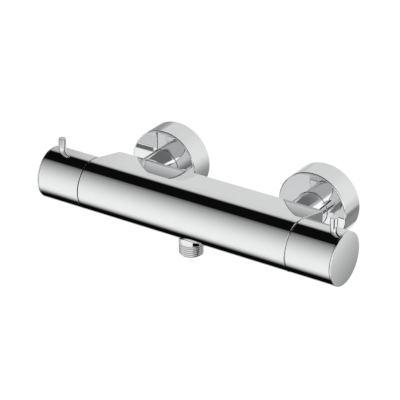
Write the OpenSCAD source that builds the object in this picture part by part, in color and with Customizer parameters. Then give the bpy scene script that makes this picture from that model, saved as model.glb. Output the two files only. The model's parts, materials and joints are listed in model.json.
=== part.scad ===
// Thermostatic shower valve for a wall with a hot supply on the left and a cold supply on the right.
// Real size, in millimetres. The origin lies on the wall, midway between the two supply tails.
// X runs to the right, Y into the wall and Z up. The bar lies along X in front of the wall.

/* [Supplies] */
// Distance between the centres of the two supplies
inlet_pitch = 150; // [140:1:160]
// Height of the wall tails above the centres of the union nuts
tail_rise = 10; // [7:0.5:12]
// Distance of the bar's axis from the wall
bar_reach = 90; // [84:1:100]
// Depth of the inlets below the bar's axis
inlet_drop = 3; // [0:0.5:4]
// Length of a supply tail beyond the wall's face
tail_len = 16; // [10:1:24]

/* [Body] */
// Diameter of the bar
bar_d = 46; // [45:0.5:50]
// Distance of the back face behind the bar's axis
shelf_depth = 41; // [38:0.5:45]
// Slope of the flat top, falling towards the wall
shelf_angle = 13; // [8:1:16]
// Slope of the flat underside, rising towards the wall
under_angle = 4; // [0:1:8]
// Length of the body beyond each inlet's centre
end_margin = 27.25; // [26:0.25:32]
// Radius of the two upright back corners
back_corner_r = 4; // [1:0.5:8]
// Radius of the long back edges
back_edge_r = 1.5; // [0.5:0.5:3]

/* [Handles] */
// Length of a handle with its end cap
handle_len = 42.25; // [38:0.25:50]
// Thickness of a handle's wall
handle_wall = 2.5; // [2:0.1:3]
// Gap between a handle and the body
seam_gap = 0.5; // [0.3:0.1:1]
// Thickness of an end cap's rim
end_cap_t = 1.3; // [1:0.1:2.5]
// Diameter of a grip pin
pin_d = 6.4; // [5:0.1:8]
// Height of a grip pin above the handle
pin_height = 11.5; // [8:0.5:20]
// Distance of a grip pin's axis from the end of the bar
pin_inset = 11; // [9:0.5:13]
// Diameter of the button that frees the temperature stop
button_d = 7.2; // [6:0.2:7.4]
// Height of the button above the handle
button_proud = 1.4; // [0.6:0.1:2]

/* [Rosettes] */
// Diameter of a rosette
rosette_d = 65.4; // [62:0.2:75]
// Depth of a rosette in front of the wall
rosette_depth = 23.5; // [20:0.5:25]
// Thickness of a rosette's sheet
rosette_wall = 1.3; // [0.8:0.1:2]

/* [Union nuts] */
// Diameter of a union nut
nut_d = 30; // [29.6:0.1:31]
// Diameter over the union's thread, three quarter inch pipe
union_thread_d = 26.441; // [25:0.001:26.441]
// Diameter over a tail's thread, half inch pipe
tail_thread_d = 20.955; // [20:0.001:21]

/* [Outlet] */
// Diameter over the outlet's thread, half inch pipe
outlet_thread_d = 20.955; // [20:0.001:21]
// Length of the outlet's thread
outlet_thread_len = 10.6; // [8:0.1:14]
// Length of the plain collar above the thread, measured from the bar's underside
outlet_collar_len = 2.2; // [2:0.1:6]
// Distance of the outlet in front of the bar's axis
outlet_forward = 2.5; // [0:0.5:3]
// Diameter of the outlet's waterway
outlet_bore_d = 13; // [10:0.5:14]

/* [Movement] */
// Turn of the temperature handle from its stop at 38 degrees Celsius to cold
cold_turn = 200; // [150:5:240]
// Turn of the flow handle from shut to open
flow_turn = 90; // [90:1:90]
// Travel of the button that frees the temperature stop
button_travel = 2.6; // [2.6:0.1:2.8]
// Travel of a non-return poppet
poppet_travel = 3; // [2:0.5:4]

/* [Hidden] */
$fn = 96;
over = 1;            // overrun of a cut
fit = 0.05;          // radial gap of a running fit, and gap of faces that slide
slack = 0.1;         // gap between pieces that are only put together
edge = 0.4;          // small bevel of a machined edge

bar_r = bar_d / 2;
inlet_z = -tail_rise;
bar_z = inlet_z + inlet_drop;
inlet_half = inlet_pitch / 2;
body_half = inlet_half + end_margin;
handle_in = body_half + seam_gap;
bar_half = handle_in + handle_len;

// Spigots at the ends of the body, which carry the guide rings of the handles
handle_bore_r = bar_r - handle_wall;
guide_t = 1.4;
spigot_r = handle_bore_r - fit - guide_t - fit;
spigot_len = 7;
spigot_wall = 3;
spigot_end = body_half + spigot_len;
mouth_r = spigot_r - spigot_wall;
guide_start = 0.6;
// Sizes across the axis are counts of this share of the mouth's radius, and follow the mouth that the bar leaves
mouth_shares = 16;
bore = mouth_r / mouth_shares;

// Waterways in the body
channel_r = 7 * bore;                               // mixed water, along the bar's axis
mix_r = 12 * bore;                                  // chamber round the wax element
mix_len = 30;
inlet_bore_r = 8;
gallery_r = 6;                               // hot water, along the back
gallery_in = 14;
gallery_y = shelf_depth - gallery_in;
gallery_depth = 20;                          // hot inlet's bore, up to this far from the bar's axis
outlet_gallery_r = 4.5 * bore;                      // from the flow cartridge to the outlet
outlet_gallery_up = 7.5;
outlet_gallery_z = -bar_r + outlet_gallery_up;
outlet_chamber_r = 8;
outlet_chamber_rise = 3;
outlet_chamber_top = outlet_gallery_z + outlet_chamber_rise;
outlet_neck_r = 9.2;
outlet_neck_len = 5;
outlet_boss_wall = 1.3;
outlet_groove = 1.3;

// Thermostatic cartridge, stations along the bar's axis from the middle of the valve
cart_end_wall = 2;
cart_back = 36.8;                            // length of the cartridge's inner end behind the cold inlet's centre
cart_in = inlet_half - cart_back;
cart_land_r = mouth_r - slack - fit;
cart_waist_r = 13.4 * bore;
cart_inner_land = 3.8;
cart_hot_len = 13.5;
cart_mid_land = 4.5;
cart_cold_len = 24.5;
cart_seat_r = 10 * bore;                            // bore outside the two seats
cart_shuttle_r = 12 * bore;                         // bore between the two seats
carrier_bore_r = 8.9 * bore;
cart_hot_0 = cart_in + cart_inner_land;
cart_hot_1 = cart_hot_0 + cart_hot_len;
cart_cold_0 = cart_hot_1 + cart_mid_land;
cart_cold_1 = cart_cold_0 + cart_cold_len;
hot_seat_in = 11.9;
hot_seat = cart_in + hot_seat_in;
seat_span = 14.9;
cold_seat = hot_seat + seat_span;
carrier_bore_in = 5;
carrier_bore_0 = cold_seat + carrier_bore_in;
cart_shoulder_in = 13.25;
cart_shoulder = spigot_end - cart_shoulder_in;
head_wall = 2.8;
carrier_bore_1 = cart_shoulder - head_wall;
neck_r = 9 * bore;
neck_out = 2.75;
neck_end = spigot_end + neck_out;
neck_flat = 8 * bore;                               // half the width over the neck's two flats
neck_flat_out = 0.25;
neck_flat_0 = spigot_end + neck_flat_out;
window_len = 4;
window_w = 7;
window_count = 6;
exit_hole_r = 1.9 * bore;
exit_circle_r = 9.6 * bore;
element_hole_r = 5.6 * bore;
land_seal_w = 2.2;                           // groove of a land's seal
land_seal_depth = 1.4;
journal_r = 4.5 * bore;
journal_seal_w = 2;
journal_seal_r = 6 * bore;
journal_seal_in = 4;
journal_seal_z = cart_shoulder + journal_seal_in;
key_w = 3;
key_r = 9.7 * bore;

retainer_t = 9;
retainer_slots = 6;
retainer_slot_w = 3;
retainer_slot_depth = 2.5;

// Shuttle, wax element and their springs
hot_gap = 0.9;                               // opening of the hot side at 38 degrees Celsius
cold_gap = 0.5;
shuttle_0 = hot_seat + hot_gap;
shuttle_1 = cold_seat - cold_gap;
shuttle_web = 2.5;
shuttle_hole_r = 1.5 * bore;
shuttle_hole_circle = 7.9 * bore;
shuttle_groove_w = 2;
shuttle_groove = 0.9;
element_r = 5 * bore;
element_len = 27.5;
element_flange_r = 7 * bore;
element_flange = 2.5;
element_guide_r = 4 * bore;
element_guide = 6;
piston_r = 1.25 * bore;
piston_len = 8;
element_flange_in = 6.5;
element_flange_0 = shuttle_0 + element_flange_in;
element_seat = element_flange_0 + element_flange;
piston_0 = element_seat + element_guide;
piston_1 = piston_0 + piston_len;
return_spring_r = 6.3 * bore;
return_wire_r = 0.5;
return_turns = 5;

// Carrier with the overload spring, moved by the spindle's thread
plunger_r = 6.4 * bore;
plunger_t = 2;
plunger_boss_r = 3.8 * bore;
plunger_boss = 1.6;
plunger_grip = 0.6;
plunger_0 = piston_1 - plunger_grip;
clip_t = 1.1;
clip_in_r = 4.6 * bore;
clip_groove = 0.5;
carrier_r = carrier_bore_r - slack;
carrier_pocket_r = plunger_r + slack;
carrier_lip = 1.2;
carrier_0 = plunger_0 - clip_t - carrier_lip;
overload_len = 8;
overload_r = 5 * bore;
overload_wire_r = 0.6;
overload_turns = 4;
carrier_thread_0 = plunger_0 + plunger_t + overload_len;
drive_thread_r = 5 * bore;
spindle_flange_r = 8 * bore;
spindle_flange = 1.8;
spindle_flange_1 = carrier_bore_1 - slack;
spindle_flange_0 = spindle_flange_1 - spindle_flange;
carrier_gap = 0.3;
carrier_1 = spindle_flange_0 - carrier_gap;
drive_thread_in = 0.5;
drive_thread_0 = carrier_thread_0 + drive_thread_in;

// Splined ends of the spindles and the adapters in the handles
spline_root_r = 3.8 * bore;
spline_tip_r = 4.4 * bore;
spline_teeth = 16;
spline_tooth_w = 0.8;
spline_gap = 0.4;
spline_0 = neck_end + spline_gap;
spline_1 = spindle_top(0);
function spindle_top(extra) = neck_end + 9.5 + extra;
adapter_af = 16.9 * bore;
adapter_gap = 1.2;
adapter_0 = neck_end + adapter_gap;
adapter_wall = 2.35;
web_0 = spline_1 + adapter_wall + slack + slack;
web_t = 3;
hub_wall = 1.8;
hub_gap = 2.2;
hub_0 = neck_end + hub_gap;
hub_r = (adapter_af + 2 * slack) / sqrt(3) + hub_wall;
screw_r = 2;
screw_hole_r = 2.3;
screw_head_r = 4;
screw_head = 3;
screw_gap = 1.5;
screw_tip = neck_end + screw_gap;
cap_spigot_t = 1.5;
cap_spigot_len = 4.7;

// Grip pins
pin_r = pin_d / 2;
pin_sink = 1.3;
pin_seat = bar_r - pin_sink;
pin_shank_r = 2;
pin_shank_len = 6;
pin_boss_r = 4.6;
pin_boss_len = 4.5;

// Stop ring and the button that frees it
stop_ring_gap = 0.4;
stop_ring_0 = spigot_end + stop_ring_gap;
stop_ring_1 = neck_end;
stop_tab_len = 2.8;
stop_tab_t = 2;
cold_tab_in = 12.5 * bore;
stop_tab_angle = 12;
nose_w = 3;
nose_gap = 0.5;
nose_0 = stop_ring_1 + nose_gap;
nose_reach = 3;
nose_1 = stop_ring_1 + nose_reach;
nose_in = 15.1 * bore;
nose_out = 17.8 * bore;
nose_clear = 0.2;                            // room between the pressed button's nose and the tab
stop_tab_in = nose_out - button_travel + nose_clear;
stop_tab_out = stop_tab_in + stop_tab_t;
nose_arm_t = 1.5;
nose_angle = asin(nose_w / 2 / nose_in);
button_r = button_d / 2;
button_flange_r = 4.4;
button_flange_t = 1.5;
button_x = nose_1 + button_flange_r;
button_spring_r = 2;
button_wire_r = 0.25;
button_turns = 3;
button_spring_sink = 0.3;
button_spring_seat = hub_r - button_spring_sink;
button_pocket = 3.2;

// Flow cartridge with two ceramic discs
flow_seat_in = 3;
flow_seat = inlet_half - flow_seat_in;
flow_bore_r = 12 * bore;
flow_mouth = 9.35;                           // depth of the wide mouth behind the spigot's end
flow_bush_r = flow_bore_r - slack;
flow_bush_in = 1;
flow_bush_0 = flow_seat + flow_bush_in;
flow_chamber_r = 14.5 * bore;
flow_chamber_in = 5;
flow_chamber_0 = flow_seat + flow_chamber_in;
flow_chamber_out = 16;
flow_chamber_1 = flow_seat + flow_chamber_out;
flow_room_r = 9.6 * bore;
flow_shoulder_out = 14;
flow_shoulder = flow_seat + flow_shoulder_out;
flow_flange_r = 15.5 * bore;
flow_flange = 3;
flow_flange_0 = spigot_end - flow_mouth + slack;
flow_hex_af = 20 * bore;
flow_bush_out = 1.75;
flow_bush_1 = spigot_end + flow_bush_out;
lip_seal_t = 1.15;
lip_seal_in = 6.4 * bore;
disc_r = 9.5 * bore;
disc_t = 3;
fixed_disc_0 = flow_seat + lip_seal_t + fit;
moving_disc_0 = fixed_disc_0 + disc_t + fit;
moving_disc_1 = moving_disc_0 + disc_t;
disc_window_in = 3 * bore;
disc_window_out = 7.8 * bore;
disc_window_angle = 60;
drive_slot_w = 3;
drive_slot_len = 14 * bore;
drive_slot_depth = 1.2;
flow_window_gap = 0.4;
flow_window_0 = moving_disc_1 + flow_window_gap;
flow_window_in = 2.4;
flow_window_1 = flow_shoulder - flow_window_in;
flow_window_w = 8;
flow_flange_turn_r = 7 * bore;
flow_lug_r = 9.2 * bore;
flow_lug_angle = 40;
flow_stop_angle = 30;
flow_lug_t = 1.9;
bush_seal_room = 20;
bush_seal_z = flow_seat + bush_seal_room;

// Inlet tails, non-return valves and unions, stations along Y from the wall
back_y = shelf_depth - bar_reach;
tail_thread_depth = 12;
tail_thread_r = 11;
tail_lip = 1.5;
tail_lip_r = 6.8;
tail_tube_r = 9.4;
tail_tube_len = 5.7;
tail_collar_r = 11.8;
tail_collar = 2.8;
inlet_tail_0 = back_y - tail_thread_depth;
inlet_tail_collar = back_y + tail_tube_len;
inlet_tail_1 = inlet_tail_collar + tail_collar;
valve_short = 14;                            // length of the non-return valve without its travel
valve_len = valve_short + poppet_travel;
valve_r = inlet_bore_r - slack;
valve_wall = 1.2;
valve_end = 1.4;
valve_seat_r = 4.4;
valve_0 = inlet_tail_0 + tail_lip + fit;
valve_1 = valve_0 + valve_len;
valve_seat_in = 1.5;
valve_seat = valve_1 - valve_seat_in;
valve_hole_r = 1.5;
valve_hole_circle = 4.2;
poppet_r = 5.6;
poppet_t = 1.6;
poppet_stem_r = 1.2;
poppet_0 = valve_seat - slack - poppet_t;
poppet_stem_out = 0.6;
poppet_stem_0 = valve_0 - poppet_stem_out;
valve_spring_r = 2.6;
valve_wire_r = 0.3;
valve_turns = 6;
washer_t = 2;
washer_in = 8.2;
washer_r = 11.9;
washer_0 = inlet_tail_1 + slack;
mesh_t = 0.4;
mesh_hole_r = 0.9;
mesh_step = 2.6;
union_0 = washer_0 + washer_t + slack;
union_bore_r = 9;
nut_r = nut_d / 2;
nut_wall_gap = 0.06;
nut_bore_r = union_thread_d / 2 + nut_wall_gap;
nut_gap = 0.4;
nut_0 = back_y + nut_gap;
nut_lip = 5;
nut_into_rosette = 7.3;
nut_1 = nut_into_rosette - rosette_depth;
nut_bevel = 0.8;
tail_bore_r = 7.5;
tail_r = tail_thread_d / 2;
offset_body_gap = 0.7;
offset_body_0 = nut_1 + offset_body_gap;
offset_body_len = 10;
offset_body_1 = offset_body_0 + offset_body_len;
offset_front_r = 14;
offset_back_r = 12;
offset_af = 26;
offset_wall = 2;
relief_r = 12;
relief_len = 6.5;

// Rosettes
rosette_r = rosette_d / 2;
rosette_gap = 0.2;
rosette_boss_wall = 2.4;
rosette_boss_len = 8;
rosette_seal_w = 2.2;
rosette_seal_depth = 1.4;
rosette_seal_room = 4.6;
rosette_seal_y = rosette_seal_room - rosette_depth;
rosette_edge = 0.5;

hot = -1;
cold = 1;

// Places: the bar's frame, its two ends with their local Z outwards, and the inlets with their local Z into the wall
module at_bar() { translate([0, -bar_reach, bar_z]) children(); }
module right_end() { at_bar() rotate([0, 90, 0]) children(); }
module left_end() { at_bar() mirror([1, 0, 0]) rotate([0, 90, 0]) children(); }
module at_inlet(side) { translate([side * inlet_half, 0, inlet_z]) rotate([-90, 0, 0]) children(); }
module at_outlet() { at_bar() translate([0, -outlet_forward, 0]) rotate([180, 0, 0]) children(); }
// The temperature handle's pin points up and its button down, which is local -X and +X
module at_pin() { translate([0, 0, bar_half - pin_inset]) rotate([0, -90, 0]) children(); }
module at_button() { translate([0, 0, button_x]) rotate([0, 90, 0]) children(); }

// Turned forms: a rod, a ring and any profile of [radius, height] points, from height z0 to z1
module rod(r, z0, z1) { translate([0, 0, z0]) cylinder(r = r, h = z1 - z0); }
module turned(profile) { rotate_extrude() polygon(profile); }
module ring(r_in, r_out, z0, z1) { turned([[r_in, z0], [r_out, z0], [r_out, z1], [r_in, z1]]); }
// A rod whose two ends have a small bevel
module bevelled_rod(r, z0, z1, bevel) {
  turned([[0, z0], [r - bevel, z0], [r, z0 + bevel], [r, z1 - bevel], [r - bevel, z1], [0, z1]]);
}
module bevelled_ring(r_in, r_out, z0, z1, bevel) {
  turned([[r_in, z0], [r_out - bevel, z0], [r_out, z0 + bevel], [r_out, z1 - bevel], [r_out - bevel, z1], [r_in, z1]]);
}
// An O-ring that lies in a groove between two radii
module o_ring(r_in, r_out, z) {
  rotate_extrude() translate([(r_in + r_out) / 2, z]) circle(r = (r_out - r_in) / 2 - fit / 2, $fn = 24);
}
module hexagon(af, z0, z1) { translate([0, 0, z0]) cylinder(r = af / sqrt(3), h = z1 - z0, $fn = 6); }
// A sector of a ring, from angle a0 to a1
module sector(r_in, r_out, a0, a1, z0, z1) {
  reach = 2 * r_out;
  translate([0, 0, z0]) linear_extrude(z1 - z0) intersection() {
    difference() { circle(r = r_out); circle(r = r_in); }
    polygon([[0, 0], reach * [cos(a0), sin(a0)], reach * [cos((a0 + a1) / 2), sin((a0 + a1) / 2)], reach * [cos(a1), sin(a1)]]);
  }
}
// Splined shaft, used with a small gap for its hub too
module splined(gap, z0, z1) {
  translate([0, 0, z0]) linear_extrude(z1 - z0) {
    circle(r = spline_root_r + gap);
    for (i = [0 : spline_teeth - 1]) rotate(360 * i / spline_teeth)
      translate([0, -spline_tooth_w / 2 - gap]) square([spline_tip_r + gap, spline_tooth_w + 2 * gap]);
  }
}
// A compression spring: a wire of six sides along a helix, between the faces z0 and z1
module coil_spring(r, wire_r, turns, z0, z1) {
  sides = 6;
  per_turn = 16;
  steps = turns * per_turn;
  pitch = (z1 - z0 - 2 * wire_r) / turns;
  points = [for (i = [0 : steps]) for (k = [0 : sides - 1])
    let (a = 360 * i / per_turn, b = 360 * k / sides, q = r + wire_r * cos(b))
      [q * cos(a), q * sin(a), z0 + wire_r + pitch * i / per_turn + wire_r * sin(b)]];
  skin = [for (i = [0 : steps - 1]) for (k = [0 : sides - 1])
    let (m = (k + 1) % sides, p = i * sides, q = p + sides) each [[p + k, q + k, q + m], [p + k, q + m, p + m]]];
  first = [for (k = [1 : sides - 2]) [0, k, k + 1]];
  last = [for (k = [1 : sides - 2]) let (p = steps * sides) [p, p + k + 1, p + k]];
  polyhedron(points = points, faces = concat(skin, first, last));
}

// Body: the round bar with its flat shelf, extruded along X, in the bar's frame as [y, z]
module body_section() {
  edge_y = shelf_depth - back_edge_r;
  top_z = (bar_r - back_edge_r) / cos(shelf_angle) - edge_y * tan(shelf_angle);
  low_z = -(bar_r - back_edge_r) / cos(under_angle) + edge_y * tan(under_angle);
  circle(r = bar_r);
  polygon([
    [0, 0],
    bar_r * [sin(shelf_angle), cos(shelf_angle)],
    [edge_y, top_z] + back_edge_r * [sin(shelf_angle), cos(shelf_angle)],
    [edge_y, top_z],
    [shelf_depth, top_z],
    [shelf_depth, low_z],
    [edge_y, low_z],
    [edge_y, low_z] + back_edge_r * [sin(under_angle), -cos(under_angle)],
    bar_r * [sin(under_angle), -cos(under_angle)]
  ]);
  translate([edge_y, top_z]) circle(r = back_edge_r);
  translate([edge_y, low_z]) circle(r = back_edge_r);
}
module back_corner_cut() {
  for (side = [hot, cold]) scale_x(side) translate([body_half - back_corner_r, shelf_depth - back_corner_r, -bar_d]) difference() {
    cube([back_corner_r + over, back_corner_r + over, 2 * bar_d]);
    translate([0, 0, -over]) cylinder(r = back_corner_r, h = 2 * bar_d + 2 * over);
  }
}
module scale_x(side) { if (side < 0) mirror([1, 0, 0]) children(); else children(); }
module body_solid() {
  difference() {
    rotate([90, 0, 90]) translate([0, 0, -body_half]) linear_extrude(2 * body_half) body_section();
    back_corner_cut();
  }
  rotate([0, 90, 0]) rod(spigot_r, body_half - over, spigot_end);
  rotate([0, -90, 0]) rod(spigot_r, body_half - over, spigot_end);
  translate([0, -outlet_forward, 0]) rotate([180, 0, 0])
    rod(outlet_neck_r + slack + outlet_boss_wall, bar_r / 2 + channel_r, bar_r + outlet_collar_len);
}
// Waterways on the cold side: the thermostat's bore, the mixing chamber and the cold inlet
module cold_waterways() {
  rotate([0, 90, 0]) {
    rod(mouth_r, cart_in - slack, spigot_end + over);
    rod(mix_r, cart_in - mix_len, cart_in);
    rod(channel_r, -flow_seat - over, cart_in - mix_len + over);
  }
  translate([inlet_half, 0, -inlet_drop]) rotate([-90, 0, 0]) rod(inlet_bore_r, cart_waist_r - over, shelf_depth);
}
// Waterways on the hot side: the inlet, the gallery along the back and its port into the thermostat's bore
module hot_waterways() {
  port_x = (cart_hot_0 + cart_hot_1) / 2;
  translate([-inlet_half, 0, -inlet_drop]) rotate([-90, 0, 0]) rod(inlet_bore_r, gallery_depth, shelf_depth);
  translate([0, gallery_y, -inlet_drop]) rotate([0, 90, 0]) rod(gallery_r, -inlet_half, port_x + gallery_r);
  translate([port_x, 0, -inlet_drop]) rotate([-90, 0, 0]) rod(gallery_r - over, cart_waist_r - over, gallery_y);
}
// The flow cartridge's bore and the gallery from it to the outlet
module outlet_waterways() {
  rotate([0, -90, 0]) {
    rod(flow_bore_r, flow_seat, spigot_end);
    rod(flow_chamber_r, flow_chamber_0, flow_chamber_1);
    rod(mouth_r, spigot_end - flow_mouth, spigot_end + over);
  }
  translate([0, 0, outlet_gallery_z]) rotate([0, -90, 0]) rod(outlet_gallery_r, 0, (flow_chamber_0 + flow_chamber_1) / 2);
  translate([0, -outlet_forward, 0]) rotate([180, 0, 0]) {
    rod(outlet_chamber_r, -outlet_chamber_top, bar_r);
    rod(outlet_neck_r + slack, bar_r + outlet_collar_len - outlet_neck_len - slack, bar_r + outlet_collar_len + over);
  }
}
module valve_body() color("silver") at_bar() difference() {
  body_solid();
  cold_waterways();
  hot_waterways();
  outlet_waterways();
  for (side = [hot, cold]) translate([side * inlet_half, 0, -inlet_drop]) rotate([-90, 0, 0])
    rod(tail_thread_r, shelf_depth - tail_thread_depth - slack, shelf_depth + over);
}

// Outlet: a threaded nipple under the body, with its seal
outlet_seat = bar_r + outlet_collar_len;
outlet_seal_z = outlet_seat - outlet_neck_len / 2;
module outlet_nipple() color("silver") at_outlet() turned([
  [outlet_bore_d / 2, outlet_seat - outlet_neck_len],
  [outlet_neck_r, outlet_seat - outlet_neck_len],
  [outlet_neck_r, outlet_seal_z - outlet_groove],
  [outlet_neck_r - outlet_groove, outlet_seal_z - outlet_groove],
  [outlet_neck_r - outlet_groove, outlet_seal_z + outlet_groove],
  [outlet_neck_r, outlet_seal_z + outlet_groove],
  [outlet_neck_r, outlet_seat + fit],
  [outlet_thread_d / 2, outlet_seat + fit],
  [outlet_thread_d / 2, outlet_seat + outlet_thread_len],
  [outlet_bore_d / 2, outlet_seat + outlet_thread_len]
]);
module outlet_seal() color("black") at_outlet() o_ring(outlet_neck_r - outlet_groove, outlet_neck_r + slack, outlet_seal_z);

// Handles: a turned shell with a web and a hexagonal hub inside, and a boss for the grip pin
module handle_shell() {
  difference() {
    union() {
      bevelled_ring(handle_bore_r, bar_r, handle_in, bar_half - end_cap_t, edge);
      rod(handle_bore_r + over / 2, web_0, web_0 + web_t);
      rod(hub_r, hub_0, web_0 + over);
      at_pin() rod(pin_boss_r, pin_seat - pin_boss_len, handle_bore_r + over / 2);
    }
    hexagon(adapter_af + 2 * slack, hub_0 - over, web_0);
    rod(screw_hole_r, web_0 - over, web_0 + web_t + over);
    at_pin() rod(pin_shank_r + fit, 0, bar_d);
    at_pin() rod(pin_r + fit, pin_seat, bar_d);
  }
}
module end_cap() {
  bevelled_ring(0, bar_r, bar_half - end_cap_t + fit, bar_half, edge);
  ring(handle_bore_r - slack - cap_spigot_t, handle_bore_r - slack, bar_half - end_cap_t - cap_spigot_len, bar_half - end_cap_t + 2 * fit);
}
module grip_pin() at_pin() {
  bevelled_rod(pin_r, pin_seat + fit, bar_r + pin_height, edge);
  rod(pin_shank_r, pin_seat - pin_shank_len, pin_seat + edge);
}
module handle_screw() difference() {
  union() {
    bevelled_rod(screw_head_r, web_0 + web_t + fit, web_0 + web_t + screw_head, edge);
    rod(screw_r, screw_tip, web_0 + web_t + edge);
  }
  hexagon(screw_r * 1.5, web_0 + web_t + screw_head / 2, web_0 + web_t + screw_head + over);
}
module spline_adapter() difference() {
  hexagon(adapter_af, adapter_0, web_0 - slack);
  splined(slack, adapter_0 - over, spline_1 + slack);
  rod(screw_hole_r, spline_1, web_0 + over);
}
module guide_ring() ring(spigot_r + fit, handle_bore_r - fit, body_half + guide_start, spigot_end - guide_start / 2);

module temperature_handle() color("silver") right_end() difference() {
  handle_shell();
  at_button() rod(button_r + slack, hub_r + over, bar_d);
  at_button() rod(button_pocket, button_spring_seat, hub_r + over);
}
module temperature_end_cap() color("silver") right_end() end_cap();
module temperature_pin() color("silver") right_end() grip_pin();
module temperature_adapter() color("white") right_end() spline_adapter();
module temperature_screw() color("gray") right_end() handle_screw();
module temperature_guide_ring() color("white") right_end() guide_ring();
module flow_handle() color("silver") left_end() handle_shell();
module flow_end_cap() color("silver") left_end() end_cap();
module flow_pin() color("silver") left_end() grip_pin();
module flow_adapter() color("white") left_end() spline_adapter();
module flow_screw() color("gray") left_end() handle_screw();
module flow_guide_ring() color("white") left_end() guide_ring();

// Temperature stop: a ring on the cartridge's neck with two tabs, one at 38 degrees Celsius and one at cold
module temperature_stop_ring() color("red") right_end() {
  tab_0 = asin((nose_w / 2 + slack) / stop_tab_in);
  cold_face = -cold_turn - nose_angle - 2;
  difference() {
    union() {
      rod(stop_tab_out, stop_ring_0, stop_ring_1);
      sector(stop_tab_in, stop_tab_out, tab_0, tab_0 + stop_tab_angle, stop_ring_1 - over, stop_ring_1 + stop_tab_len);
      sector(cold_tab_in, stop_tab_out, cold_face - stop_tab_angle, cold_face, stop_ring_1 - over, stop_ring_1 + stop_tab_len);
    }
    neck_end_form(fit, stop_ring_0 - over, stop_ring_1 + over);
  }
}
module neck_end_form(gap, z0, z1) intersection() {
  rod(neck_r + gap, z0, z1);
  translate([-neck_flat - gap, -2 * neck_r, z0]) cube([2 * (neck_flat + gap), 4 * neck_r, z1 - z0]);
}
// The button's nose stands beside the stop ring's first tab, and moves inside it when the button is pressed
module safety_button() color("silver") right_end() {
  at_button() {
    bevelled_rod(button_r, nose_out + slack, bar_r + button_proud, edge);
    rod(button_flange_r, nose_out, nose_out + button_flange_t);
  }
  translate([nose_in, -nose_w / 2, nose_0]) cube([nose_out - nose_in, nose_w, nose_1 - nose_0]);
  translate([nose_out - nose_arm_t, -nose_w / 2, nose_0]) cube([nose_arm_t, nose_w, button_x - button_spring_r - button_wire_r - nose_0 - slack]);
  translate([nose_out - nose_arm_t, -nose_w / 2, nose_1])
    cube([nose_arm_t + button_flange_t / 2, nose_w, button_x - button_spring_r - button_wire_r - nose_1 - slack]);
}
module safety_button_spring() color("gray") right_end() at_button()
  coil_spring(button_spring_r, button_wire_r, button_turns, button_spring_seat + fit, nose_out - fit);

// Thermostatic cartridge: the housing with its lands, seats and windows
module land_groove(z) ring(cart_land_r - land_seal_depth, cart_land_r + over, z - land_seal_w / 2, z + land_seal_w / 2);
module housing_windows(z0, z1) for (i = [0 : window_count - 1]) rotate(360 * i / window_count)
  translate([0, -window_w / 2, z0]) cube([cart_land_r + over, window_w, z1 - z0]);
land_seals = [
  cart_in + cart_inner_land / 2,
  cart_hot_1 + cart_mid_land / 2,
  cart_cold_1 + land_seal_w
];
module thermostat_housing() color("ivory") right_end() difference() {
  union() {
    turned([
      [0, cart_in], [cart_land_r, cart_in],
      [cart_land_r, cart_hot_0], [cart_waist_r, cart_hot_0],
      [cart_waist_r, cart_hot_1], [cart_land_r, cart_hot_1],
      [cart_land_r, cart_cold_0], [cart_waist_r, cart_cold_0],
      [cart_waist_r, cart_cold_1], [cart_land_r, cart_cold_1],
      [cart_land_r, cart_shoulder], [neck_r, cart_shoulder],
      [neck_r, neck_flat_0], [0, neck_flat_0]
    ]);
    neck_end_form(0, neck_flat_0 - over, neck_end);
  }
  rod(cart_seat_r, cart_in + cart_end_wall, carrier_bore_0);
  rod(cart_shuttle_r, hot_seat, cold_seat);
  rod(carrier_bore_r, carrier_bore_0 - over, carrier_bore_1);
  rod(element_hole_r, cart_in - over, cart_in + cart_end_wall + over);
  rod(journal_r + fit, carrier_bore_1 - over, neck_end + over);
  rod(journal_seal_r, journal_seal_z - journal_seal_w / 2, journal_seal_z + journal_seal_w / 2);
  housing_windows(hot_seat, hot_seat + window_len);
  housing_windows(cold_seat - window_len, cold_seat);
  for (i = [0 : window_count - 1]) rotate(360 * (i + 1 / 2) / window_count)
    translate([exit_circle_r - exit_hole_r, 0, 0]) rod(exit_hole_r, cart_in - over, cart_in + cart_end_wall + over);
  for (z = land_seals) land_groove(z);
  translate([-key_w / 2 - slack, -key_r - slack, carrier_bore_0 - over])
    cube([key_w + 2 * slack, 2 * (key_r + slack), carrier_bore_1 - carrier_bore_0 + over]);
}
module thermostat_retaining_nut() color("goldenrod") right_end() difference() {
  ring(neck_r + slack, mouth_r - fit, cart_shoulder + fit, cart_shoulder + retainer_t);
  for (i = [0 : retainer_slots - 1]) rotate(360 * i / retainer_slots)
    translate([neck_r, -retainer_slot_w / 2, cart_shoulder + retainer_t - retainer_slot_depth])
      cube([mouth_r, retainer_slot_w, retainer_slot_depth + over]);
}
module thermostat_seals() color("black") right_end() {
  for (z = land_seals) o_ring(cart_land_r - land_seal_depth, mouth_r, z);
  o_ring(journal_r + fit, journal_seal_r, journal_seal_z);
}
module thermostat_spindle() color("goldenrod") right_end() difference() {
  union() {
    rod(drive_thread_r, drive_thread_0, spindle_flange_0 + over / 2);
    rod(spindle_flange_r, spindle_flange_0, spindle_flange_1);
    rod(journal_r, spindle_flange_1 - over / 2, spline_0);
    splined(0, spline_0 - over / 2, spline_1);
  }
  rod(screw_r + fit, screw_tip - over, spline_1 + over);
}

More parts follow.
